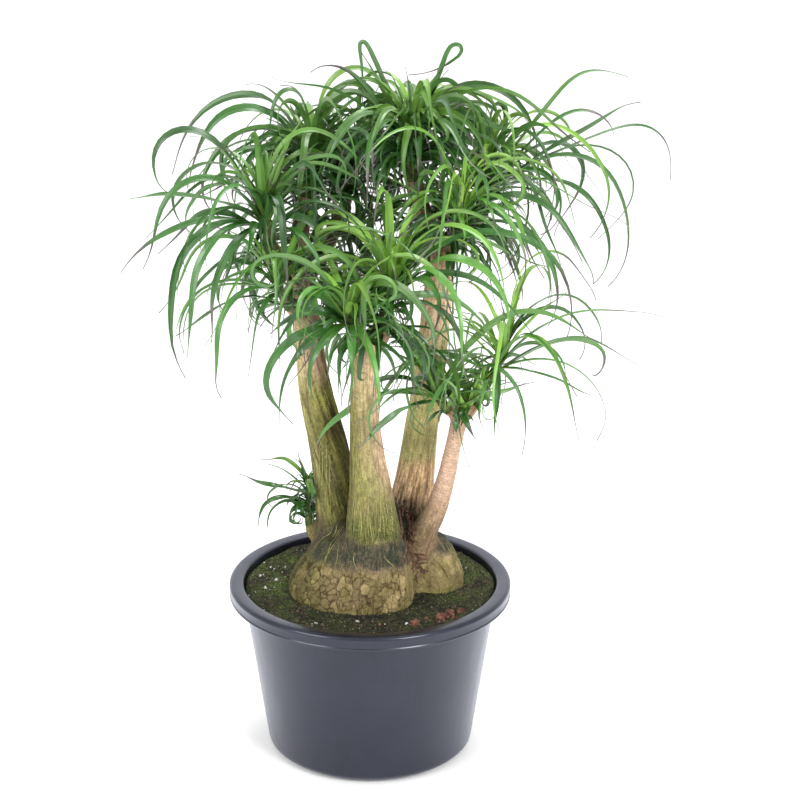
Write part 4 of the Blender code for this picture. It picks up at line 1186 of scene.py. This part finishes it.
def leafCorners(start, leaf, width, s=leafSettings):
    # the corners of the plain blade that stands for this leaf in the frame
    rings = 4 + sum(leaf.length > long for long in s["longLeaves"])
    fractions = np.interp(np.linspace(0.0, 1.0, rings + 1), 0.5 * finely + 0.5 * turnedShare(leaf), finely)
    points, side, normal = leafLine(start, leaf, fractions)
    corners = [points[-1]]
    for u, point, across, up in zip(fractions[:-1], points, side, normal):
        half = 0.5 * width * (1.0 - 0.80 * u ** 1.5) * min(1.0, s["rootWidth"] + 6.0 * u)
        if u > 0.15:
            corners += [point + across * half, point - across * half,
                        point - up * s["keel"] * (1.0 - 0.35 * u)]
    return corners


def startHead(name, s=leafSettings):
    base, before = Vector(branches[name][-1][:3]), Vector(branches[name][-2][:3])
    outward = (base - before).normalized()
    base += outward * s["gap"]
    head = {**headDefaults, **heads[name], "name": name, "base": base, "radius": branches[name][-1][3],
            "outward": outward, "grown": []}
    head["tip"] = Vector([value / 1000 for value in head["tip"]])
    head["axis"] = head["tip"] - base
    head["lean"] = math.atan2(math.hypot(head["axis"].x, head["axis"].y), head["axis"].z)
    head["leafWidth"] = s["width"] * (s["smallWidth"] if head["size"] < 1.0 else 1.0)
    return head


def addLeaf(head, start, leaf, width, age, kind="fill", **more):
    head["grown"].append({"start": start, "leaf": leaf, "width": width, "age": age, "kind": kind, **more})


def level(heading, reach=1.0):
    return Vector((math.cos(math.radians(heading)), math.sin(math.radians(heading)), 0.0)) * reach


def towardsLean(head, heading):
    return math.cos(math.radians(heading) - math.atan2(head["axis"].y, head["axis"].x))


def varied(draw, placed, attempt):
    heading, rise, length, droop, bend, softness = placed
    shift = 0.35 * attempt * draw.uniform(-1, 1)
    age = draw.uniform(0.35, 0.8)
    leaf = Leaf(heading + shift, rise + 0.4 * shift, length / 1000, droop, bend / 100,
                softness / 100, draw.uniform(-8, 8))
    return age, leaf, 1.0


def drawn(draw, head, count, index, attempt):
    # the older a leaf is, the lower it starts and the wider it arches
    age = (index + 0.5) / count
    heading = 137.5 * index + draw.uniform(-14, 14) + (attempt > 5) * draw.uniform(-40, 40)
    rise = 82 - 62 * age + draw.uniform(-9, 9) + 0.5 * math.degrees(head["lean"]) * towardsLean(head, heading)
    rise = min(88, rise)
    length = leafSettings["length"] * draw.uniform(0.65, 1.0)
    length *= 0.6 + 0.4 * math.sin(math.pi * min(1.0, 0.25 + age))
    length *= head["size"] * (1.0 if attempt < 30 else 0.75)
    leaf = Leaf(heading, rise, length, rise + draw.uniform(35, 92), draw.uniform(0.28, 0.62),
                draw.uniform(0.09, 0.22), draw.uniform(-25, 25))
    return age, leaf, draw.uniform(0.6, 1.0)


def leafRoot(head, age, heading):
    along = 0.88 - 0.62 * age
    axis = head["axis"].normalized()
    out = level(heading)
    out = (out - axis * out.dot(axis)).normalized()
    return head["base"].lerp(head["tip"], along) + out * (0.45 * head["radius"] * (0.95 - 0.65 * along))


def standsInFrame(tree, corners, near):
    # whether the plain blade with these corners is one of the frame's
    hits = [tree.find_nearest(Vector(corner), near)[0] is not None for corner in corners]
    return hits[0] and sum(hits) >= 0.75 * len(corners)


def findLeaf(head, tree, kind, propose, s=leafSettings):
    for attempt in range(s["tries"]):
        age, leaf, wide = propose(attempt)
        start, width = leafRoot(head, age, leaf.heading), head["leafWidth"] * wide
        if standsInFrame(tree, leafCorners(start, leaf, width), s["match"]):
            addLeaf(head, start, leaf, width, age, kind)
            return


def findLeaves(name):
    # draws the leaves again by the frame's own rule and keeps those that stand there
    head = startHead(name)
    tree = meshTree(frame["nodes"]["leaves_" + name].data)
    draw = random.Random(head["seed"])
    for placed in head["placed"]:
        findLeaf(head, tree, "placed", lambda attempt: varied(draw, placed, attempt))
    draw = random.Random(head["seed"] + 100)
    for index in range(head["leaves"]):
        findLeaf(head, tree, "drawn", lambda attempt: drawn(draw, head, head["leaves"], index, attempt))
    return head


# for each kind of leaf: where a curl starts at the earliest, how far it turns down and sideways at most,
# and the share of leaves that end in a full ring
curlSettings = {"placed": (0.72, 34.0, 26.0, 0.0), "wild": (0.60, 75.0, 65.0, 0.06),
                "drawn": (0.55, 85.0, 60.0, 0.07), "fill": (0.40, 115.0, 95.0, 0.12),
                "side_shoot": (0.50, 150.0, 40.0, 0.25)}


def drawCurl(draw, kind):
    begin, down, sideways, ringed = curlSettings[kind]
    curl = (draw.uniform(begin, begin + 0.2), down * draw.uniform(-0.55, 1.0), sideways * draw.uniform(-1, 1))
    if draw.random() < ringed:
        curl = (draw.uniform(0.55, 0.72), draw.uniform(200, 330), 90 * draw.uniform(-1, 1))
    return curl


fillSettings = {
    "seed": 500, "tries": 30, "share": (0.42, 0.86), "width": (0.50, 0.95),
    "crownCenter": (0.030, 0.010, 0.545), "crownReach": (0.275, 0.250, 0.245), "reach": 0.93,
    # a gap in the crown through which the rear trunk shows: x and z where it crosses the plane y
    "gapPlane": 0.045, "gap": ((0.048, 0.150), (0.445, 0.570)),
}


def hidesGap(points, s=fillSettings):
    # whether a leaf hides the gap from someone who stands in front
    (left, right), (low, high) = s["gap"]
    eye = np.array((0.0, -cameraSettings["distance"], cameraSettings["height"]))
    scale = (s["gapPlane"] - eye[1]) / (points[:, 1] - eye[1])
    seen = eye + (points - eye) * scale[:, None]
    inside = (left < seen[:, 0]) & (seen[:, 0] < right) & (low < seen[:, 2]) & (seen[:, 2] < high)
    return (inside & (points[:, 1] < s["gapPlane"])).sum() > 1


def fillHead(head, s=fillSettings):
    # more leaves between those of the frame, inside the same crown and clear of the wood
    draw = random.Random(head["seed"] + s["seed"])
    count = round(head["fill"] * len(head["grown"]))
    small = head["size"] < 1.0
    for index in range(count):
        for attempt in range(s["tries"]):
            age, leaf, _ = drawn(draw, head, count, index, attempt)
            leaf = leaf._replace(length=leaf.length * draw.uniform(*s["share"]))
            curl = drawCurl(draw, "side_shoot" if small else "fill")
            start = leafRoot(head, age, leaf.heading)
            points = leafLine(start, leaf, np.linspace(0, 1, 11), curl)[0]
            reach = np.linalg.norm((points - s["crownCenter"]) / s["crownReach"], axis=1).max()
            if points[:, 2].min() < head["hem"] or (reach > s["reach"] and not small) or hidesGap(points):
                continue
            if any(woodSkin.ray_cast(Vector(a), Vector(b - a), float(np.linalg.norm(b - a)))[0] is not None
                   for a, b in zip(points[2:], points[3:])):
                continue
            width = leafSettings["width"] * draw.uniform(*s["width"])
            width *= leafSettings["smallWidth"] if small else 1.0
            addLeaf(head, start, leaf, width, age, curl=curl)
            break


# short old leaves that hang from the bare part of a branch
thatchSettings = {"seed": 700, "length": (0.07, 0.14), "stemShare": 0.32, "rise": (-15, 35),
                  "turn": (40, 100), "width": (0.5, 0.8)}


def hangThatch(head, s=thatchSettings):
    draw = random.Random(head["seed"] + s["seed"])
    line = smoothStations(branches[head["name"]], 8)
    scale = s["stemShare"] if head["name"].startswith("stem") else 1.0
    for _ in range(head["thatch"]):
        station = line[int(draw.uniform(0.25, 1.0) * (len(line) - 1))]
        heading, rise = draw.uniform(0, 360), draw.uniform(*s["rise"])
        leaf = Leaf(heading, rise, scale * draw.uniform(*s["length"]), rise + draw.uniform(*s["turn"]),
                    draw.uniform(0.25, 0.5), draw.uniform(0.08, 0.2), draw.uniform(-20, 20))
        start = Vector(station[:3]) + level(heading, 0.6 * station[3])
        addLeaf(head, start, leaf, leafSettings["width"] * draw.uniform(*s["width"]), 1.0,
                curl=drawCurl(draw, "fill"), old=True)


# the small leaves at the foot of the side shoot roll up into rings
ringSettings = {"seed": 750, "count": 16, "rise": (20, 60), "length": (0.028, 0.050), "turn": (60, 120),
                "width": 0.0062, "ring": (120, 330), "sideways": (-60, 60)}


def curlAround(head, s=ringSettings):
    draw = random.Random(head["seed"] + s["seed"])
    for index in range(s["count"]):
        heading = 137.5 * index + draw.uniform(-20, 20)
        start = head["base"].lerp(head["tip"], draw.uniform(-0.05, 0.75))
        leaf = Leaf(heading, draw.uniform(*s["rise"]), draw.uniform(*s["length"]), draw.uniform(*s["turn"]),
                    0.5, 0.15, draw.uniform(-40, 40))
        addLeaf(head, start, leaf, s["width"] * draw.uniform(0.7, 1.0), 1.0,
                curl=(0.30, draw.uniform(*s["ring"]), draw.uniform(*s["sideways"])))


# narrow young leaves that stand up in the middle of a head
coreSettings = {"seed": 800, "share": 0.45, "clasping": 20, "length": (0.055, 0.115), "lean": (4, 30),
                "turn": (5, 55), "width": (0.42, 0.66), "claspWidth": 1.5}


def raiseCore(head, s=coreSettings):
    draw = random.Random(head["seed"] + s["seed"])
    line = smoothStations(branches[head["name"]], 8)
    slim = head["name"].startswith("stem")
    for index in range(round(s["share"] * len(head["grown"])) + s["clasping"] * slim):
        heading = 137.5 * index + draw.uniform(-30, 30)
        tilt = 0.5 * math.degrees(head["lean"]) * (towardsLean(head, heading) - 1.0)
        rise = min(89.0, 90 - draw.uniform(*s["lean"]) + tilt)
        turn = draw.uniform(*s["turn"])
        leaf = Leaf(heading, rise, head["size"] * draw.uniform(*s["length"]), turn, draw.uniform(0.5, 0.8),
                    draw.uniform(0.1, 0.2), draw.uniform(-20, 20))
        width = head["leafWidth"] * draw.uniform(*s["width"])
        start = leafRoot(head, draw.uniform(0.0, 0.4), heading)
        if slim and index % 2:  # leaves that clasp the bare branch below the head
            station = line[int(draw.uniform(0.15, 1.0) * (len(line) - 1))]
            start = Vector(station[:3]) + level(heading, 0.5 * station[3])
            width *= s["claspWidth"]
        addLeaf(head, start, leaf, width, draw.uniform(0.0, 0.2),
                curl=(0.6, draw.uniform(-20, 50), draw.uniform(-30, 30)))


bladeSettings = {"segments": 24, "profilePoints": 8, "thickness": 0.07, "channel": 0.42, "widen": 1.06,
                 "roll": (15.0, 100.0), "wave": 0.0011, "sway": 0.030, "thread": 0.00052, "margin": 0.0006,
                 "dryShare": 0.7, "dryFrom": (0.62, 0.92), "neverDry": 1.2, "oldTone": 0.35}


def bladeTree():
    # sweeps a channelled blade along every line, with its hollow side up
    given, make, end = newTree("strapBlades", {"Profile Points": "Int", "Thickness": "Float",
                                               "Channel": "Float", "Finish": "Material"})
    curve = make("GeometryNodeMeshToCurve", {"Mesh": given["Geometry"]})
    up = make("GeometryNodeInputNamedAttribute", {"Name": "bladeUp"}, data_type="FLOAT_VECTOR")
    facingUp = make("GeometryNodeSetCurveNormal", {"Curve": curve, "Normal": up}, mode="FREE")
    half = make("GeometryNodeInputNamedAttribute", {"Name": "halfWidth"}, data_type="FLOAT")
    profile = make("GeometryNodeCurvePrimitiveCircle", {"Resolution": given["Profile Points"], "Radius": 1.0})
    place = {0: make("GeometryNodeInputPosition")}
    x, y = (make("ShaderNodeSeparateXYZ", place, axis) for axis in (0, 1))
    for name, value in (("across", y), ("topSide", x)):
        profile = make("GeometryNodeStoreNamedAttribute", {"Geometry": profile, "Name": name, "Value": value},
                       data_type="FLOAT")
    fold = make("ShaderNodeMath", {0: y}, operation="ABSOLUTE")
    lift = make("ShaderNodeMath", {0: fold, 1: given["Channel"]}, operation="MULTIPLY")
    thin = make("ShaderNodeMath", {0: x, 1: given["Thickness"]}, operation="MULTIPLY")
    height = make("ShaderNodeMath", {0: thin, 1: lift}, operation="ADD")
    flat = make("ShaderNodeCombineXYZ", {0: height, 1: y})
    profile = make("GeometryNodeSetPosition", {"Geometry": profile, "Position": flat})
    return end(make("GeometryNodeCurveToMesh",
                    {"Curve": facingUp, "Profile Curve": profile, "Scale": half, "Fill Caps": True}))


def bladeMesh(blades, finish, s=bladeSettings):
    # a blade is its points, ways up, half widths and fractions, then its tone, youth and dry start
    points, ups, halves, fractions, *even = zip(*blades)
    sizes = [len(line) for line in points]
    ends = set(np.cumsum(sizes).tolist())
    lines = bpy.data.meshes.new("lines")
    lines.from_pydata(np.concatenate(points).tolist(),
                      [(i, i + 1) for i in range(sum(sizes) - 1) if i + 1 not in ends], [])
    for name, values in (("bladeUp", ups), ("halfWidth", halves), ("along", fractions)):
        store(lines, name, np.concatenate(values))
    for name, values in zip(("tone", "young", "dryFrom"), even):
        store(lines, name, np.repeat(values, sizes))
    return grown(lines, strapTree, {"Profile Points": s["profilePoints"], "Thickness": s["thickness"],
                                    "Channel": s["channel"], "Finish": finish})


def drawIn(points, half):
    # shrinks a leaf towards its root along each axis on which it would leave the frame's box
    start = points[0]
    room = half * 1.06 + bladeSettings["margin"]
    for axis in range(3):
        over = points[:, axis] - start[axis]
        most = cadHigh[axis] - room - start[axis]
        least = cadLow[axis] + room - start[axis]
        share = np.where(over > 0, over / np.maximum(most, 1e-4), over / np.minimum(least, -1e-4)).max()
        if share > 1.0:
            points[:, axis] = start[axis] + over / share
    return points


def layBlade(draw, item, leaf, curl, power, head, s=bladeSettings):
    # one leaf, with its waves, its twist, its width and its dry end
    spread = 0.35 * finely + 0.35 * turnedShare(leaf) + 0.30 * curlShare(curl)
    u = np.interp(np.linspace(0, 1, s["segments"] + 1), spread, finely)
    points, side, normal = leafLine(item["start"], leaf, u, curl)
    phase, swing = draw.uniform(0, math.tau), draw.uniform(0.5, 1.0)
    settled = np.minimum(1.0, 4.0 * u) * np.minimum(1.0, 5.0 * (1.0 - u))
    points = points + side * (s["wave"] * swing * settled * np.sin(9.0 * u + phase))[:, None]
    loose = s["sway"] * leaf.length * swing * rises(0.35, 1.0, u)
    points += side * (loose * np.sin(8.0 * u + 2.0 * phase))[:, None]
    points += normal * (0.6 * loose * np.sin(10.0 * u + 3.0 * phase))[:, None]
    roll = math.radians(draw.uniform(*s["roll"])) * draw.choice((-1, 1))
    begin = draw.uniform(0.08, 0.30)
    angle = roll * rises(begin, begin + draw.uniform(0.25, 0.55), u) + 0.22 * u * np.sin(6.0 * u + phase)
    ups = normal * np.cos(angle)[:, None] + side * np.sin(angle)[:, None]
    dryFrom = draw.uniform(*s["dryFrom"]) if draw.random() < s["dryShare"] else s["neverDry"]
    taper = 1.0 - 0.55 * rises(min(dryFrom, 0.86) - 0.12, 0.95, u)
    half = 0.5 * item["width"] * s["widen"] * head["width"]
    half = np.maximum(s["thread"], half * (1.0 - 0.88 * u ** power) * np.minimum(1.0, 0.5 + 4.0 * u) * taper)
    young = head["young"] * max(0.0, 1.0 - 2.2 * item["age"]) * draw.uniform(0.5, 1.2)
    tone = s["oldTone"] * draw.random() if item.get("old") else draw.uniform(*head["tones"])
    return drawIn(points, half), ups, half, u, tone, young, dryFrom


def layBlades(head):
    draw = random.Random(head["seed"] + 900)
    blades = []
    for index, item in enumerate(head["grown"]):
        leaf, kind, power = item["leaf"], item["kind"], head["late"] * draw.uniform(0.8, 1.15)
        if kind == "placed" and index in head["folds"]:
            leaf = leaf._replace(softness=leaf.softness * head["folds"][index])
            power = 0.9
        if head["size"] < 1.0 and kind != "placed":
            kind = "side_shoot"
        if head["wild"] and kind in ("placed", "drawn") and index > 1:
            kind = "wild"
        curl = item.get("curl") or drawCurl(draw, kind)
        blades.append(layBlade(draw, item, leaf, curl, power, head))
    return blades


leafTones = {
    "deep": linear(25, 66, 21), "mid": linear(53, 110, 35), "fresh": linear(98, 156, 58),
    "young": linear(176, 226, 84), "base": linear(120, 154, 62), "vein": linear(100, 158, 64),
    "under": linear(92, 130, 76), "dry": linear(98, 88, 84), "dryDark": linear(66, 58, 56),
}


def strapLeaf(s):
    look = Finish("strapLeaf", Specular_IOR_Level=0.6, Coat_Weight=0.28, Coat_Roughness=0.24)
    along = look.read("along")
    blots = look.noise(45.0, 3.0)
    lengthways = look.node("CombineXYZ", {0: look.times(look.read("across"), 7.0), 1: look.times(along, 3.0),
                                          2: look.times(look.read("tone"), 40.0)}).outputs[0]
    veins = look.noise(1.6, 3.0, 0.6, place=lengthways)
    tone = look.ramp(look.read("tone"), (0.0, s["deep"]), (0.55, s["mid"]), (1.0, s["fresh"]))
    tone = look.over(tone, blots, 0.35, 0.7, s["deep"], 0.35)
    tone = look.over(tone, veins, 0.49, 0.70, s["vein"], 0.55)
    fading = look.ramp(along, (0.25, 1.0), (0.85, 0.15))
    tone = look.mix(look.times(look.read("young"), fading), tone, s["young"])
    tone = look.mix(look.times(look.read("topSide"), -0.5, True), tone, s["under"])
    tone = look.mix(look.ramp(along, (0.02, 0.7), (0.16, 0.0)), tone, s["base"])
    end = look.times(look.maths("SUBTRACT", along, look.read("dryFrom")), 11.0, True)
    tone = look.mix(end, tone, look.over(s["dry"], blots, 0.4, 0.6, s["dryDark"]))
    return look.done(Base_Color=tone, Roughness=look.ramp(veins, (0.3, 0.32), (0.7, 0.46)),
                     Normal=look.bump(veins, 0.35, 0.0004))


budTones = (linear(40, 62, 24), linear(74, 96, 38), linear(124, 112, 72))


def makeBuds(found):
    # the short shoots that the leaves clasp, ringed with old leaf bases
    bm = bmesh.new()
    for head in found:
        base, tip, radius = head["base"], head["tip"], head["radius"]
        foot, neck = base - head["outward"] * 0.003, base + head["outward"] * 0.3 * radius
        line = smoothStations(((*foot, 0.92 * radius), (*neck, 0.84 * radius),
                               (*base.lerp(tip, 0.6), 0.55 * radius), (*tip, 0.16 * radius)), 10)
        for i, station in enumerate(line):
            station[3] *= 1.0 + 0.08 * math.sin(2.3 * i) + 0.04 * math.sin(5.1 * i + 1)
        sweepInto(bm, line, 20)
    settle(addPiece("leafBuds", bm, chunkFinish("budScales", budTones, 120.0, 700.0), 60), "leaf")


def makeLeaves():
    found = [findLeaves(name) for name in heads]
    print("  found", {head["name"]: len(head["grown"]) for head in found})
    finish = strapLeaf(leafTones)
    for head in found:
        raiseCore(head)
        fillHead(head)
        hangThatch(head)
        if head["name"] == "side_shoot":
            curlAround(head)
        name = "leaves" + "".join(word.capitalize() for word in head["name"].split("_"))
        piece = addPiece(name, bladeMesh(layBlades(head), finish), finish, 38)
        settle(piece, "leaf", "leaves_" + head["name"])
        print(" ", name, len(head["grown"]), "leaves,", len(piece.data.polygons), "faces")
    makeBuds(found)


strapTree = bladeTree()
makeLeaves()
print("leaves made")


# Loose strips of bark in the hollow between the front trunk and the thin stem, and roots on the caudex

shredSettings = {
    "seed": 61, "steps": 12, "heading": (-75, 45), "lift": (0.0005, 0.0016),
    # how many, from where to where on x and z, the scatter, the lengths and the half widths
    "groups": ((26, (0.042, 0.056), (0.262, 0.218), 0.004, (0.007, 0.017), (0.0004, 0.0011)),
               (16, (0.036, 0.047), (0.276, 0.262), 0.003, (0.003, 0.007), (0.0007, 0.0017))),
    "tones": (linear(62, 41, 33), linear(104, 72, 58), linear(150, 112, 92)),
}


def strand(points, ups, half, thinnest):
    # a blade that narrows to both ends
    u = np.linspace(0, 1, len(points))
    width = half * (thinnest + (1 - thinnest) * np.sin(math.pi * np.clip(u, 0.06, 0.94)))
    return points, ups, width, u, 0, 0, 0


def makeShreds(s):
    draw = random.Random(s["seed"])
    blades = []
    strips = [(i / (group[0] - 1), *group[1:]) for group in s["groups"] for i in range(group[0])]
    for i, (t, xs, zs, scatter, lengths, halves) in enumerate(strips):
        x = xs[0] + (xs[1] - xs[0]) * t + draw.uniform(-scatter, scatter)
        z = zs[0] + (zs[1] - zs[0]) * t + draw.uniform(-scatter, scatter)
        middle, either = s["heading"]
        course = math.radians(middle + draw.uniform(-either, either))
        length = draw.uniform(*lengths)
        points = []
        for u in (k / s["steps"] for k in range(s["steps"] + 1)):
            bend = course + 0.7 * math.sin(3.0 * u + i)
            x += length / s["steps"] * math.cos(bend)
            z += length / s["steps"] * math.sin(bend)
            hit, normal, _, _ = woodSkin.ray_cast(Vector((x, -0.2, z)), Vector((0, 1, 0)), 0.4)
            if hit is not None:
                points.append(hit + normal * (s["lift"][0] + s["lift"][1] * math.sin(math.pi * u) ** 2))
        if len(points) > 4:
            blades.append(strand(points, [(0.2, -1.0, 0.3)] * len(points), draw.uniform(*halves), 0.35))
    finish = chunkFinish("shredFinish", s["tones"], 330.0, 1500.0)
    settle(addPiece("barkShreds", bladeMesh(blades, finish), finish, 55), "bark")


threadSettings = {
    "seed": 67, "steps": 16, "outside": 0.13, "near": 0.055, "half": (0.00035, 0.00065), "jump": 0.008,
    "lift": 0.0003,
    # on each lobe: center x and y, then the heading in degrees, top, foot and slant of each root
    "runs": ((-0.020, -0.004, ((200, 0.268, 0.240, 4), (208, 0.270, 0.236, 6), (217, 0.266, 0.232, -5),
                               (226, 0.268, 0.238, 7), (236, 0.262, 0.230, -4), (247, 0.258, 0.236, 5),
                               (300, 0.256, 0.238, 6), (272, 0.258, 0.238, 3))),
             (0.074, 0.006, ((322, 0.244, 0.222, 8), (340, 0.244, 0.208, 6), (352, 0.242, 0.212, -5)))),
    # on the trunks: center x and y, first and last heading, how many, lowest and highest top, foot
    "sprays": ((0.002, -0.040, 192, 345, 24, 0.284, 0.345, 0.273),
               (-0.043, 0.010, 180, 265, 12, 0.290, 0.400, 0.275)),
    "tones": (linear(120, 122, 66), linear(152, 150, 90), linear(184, 176, 122)),
}


def makeThreads(s):
    # thin roots that run down the caudex, and fibres at the feet of the trunks
    draw = random.Random(s["seed"])
    blades = []
    runs = [(x, y, *run, s["outside"]) for x, y, lobeRuns in s["runs"] for run in lobeRuns]
    for x, y, first, last, count, low, high, foot in s["sprays"]:
        runs += [(x, y, first + (last - first) * (i + draw.random()) / count, draw.uniform(low, high),
                  foot + draw.uniform(0, 0.012), draw.uniform(-7, 7), s["near"]) for i in range(count)]
    for x, y, heading, top, foot, slant, outside in runs:
        phase = draw.uniform(0, math.tau)
        points, ups = [], []
        for u in (k / s["steps"] for k in range(s["steps"] + 1)):
            outward = level(heading + slant * u + 1.6 * math.sin(5.0 * u + phase))
            start = Vector((x, y, top + (foot - top) * u)) + outward * outside
            hit, normal, _, _ = woodSkin.ray_cast(start, -outward, outside)
            if hit is None or (points and (hit - points[-1]).length > s["jump"]):
                break
            points.append(hit + normal * s["lift"])
            ups.append(normal)
        if len(points) > 4:
            blades.append(strand(points, ups, draw.uniform(*s["half"]), 0.3))
    finish = chunkFinish("threadFinish", s["tones"], 330.0, 1500.0)
    settle(addPiece("rootThreads", bladeMesh(blades, finish), finish, 55), "bark")


makeShreds(shredSettings)
makeThreads(threadSettings)
print("bark shreds and root threads made")
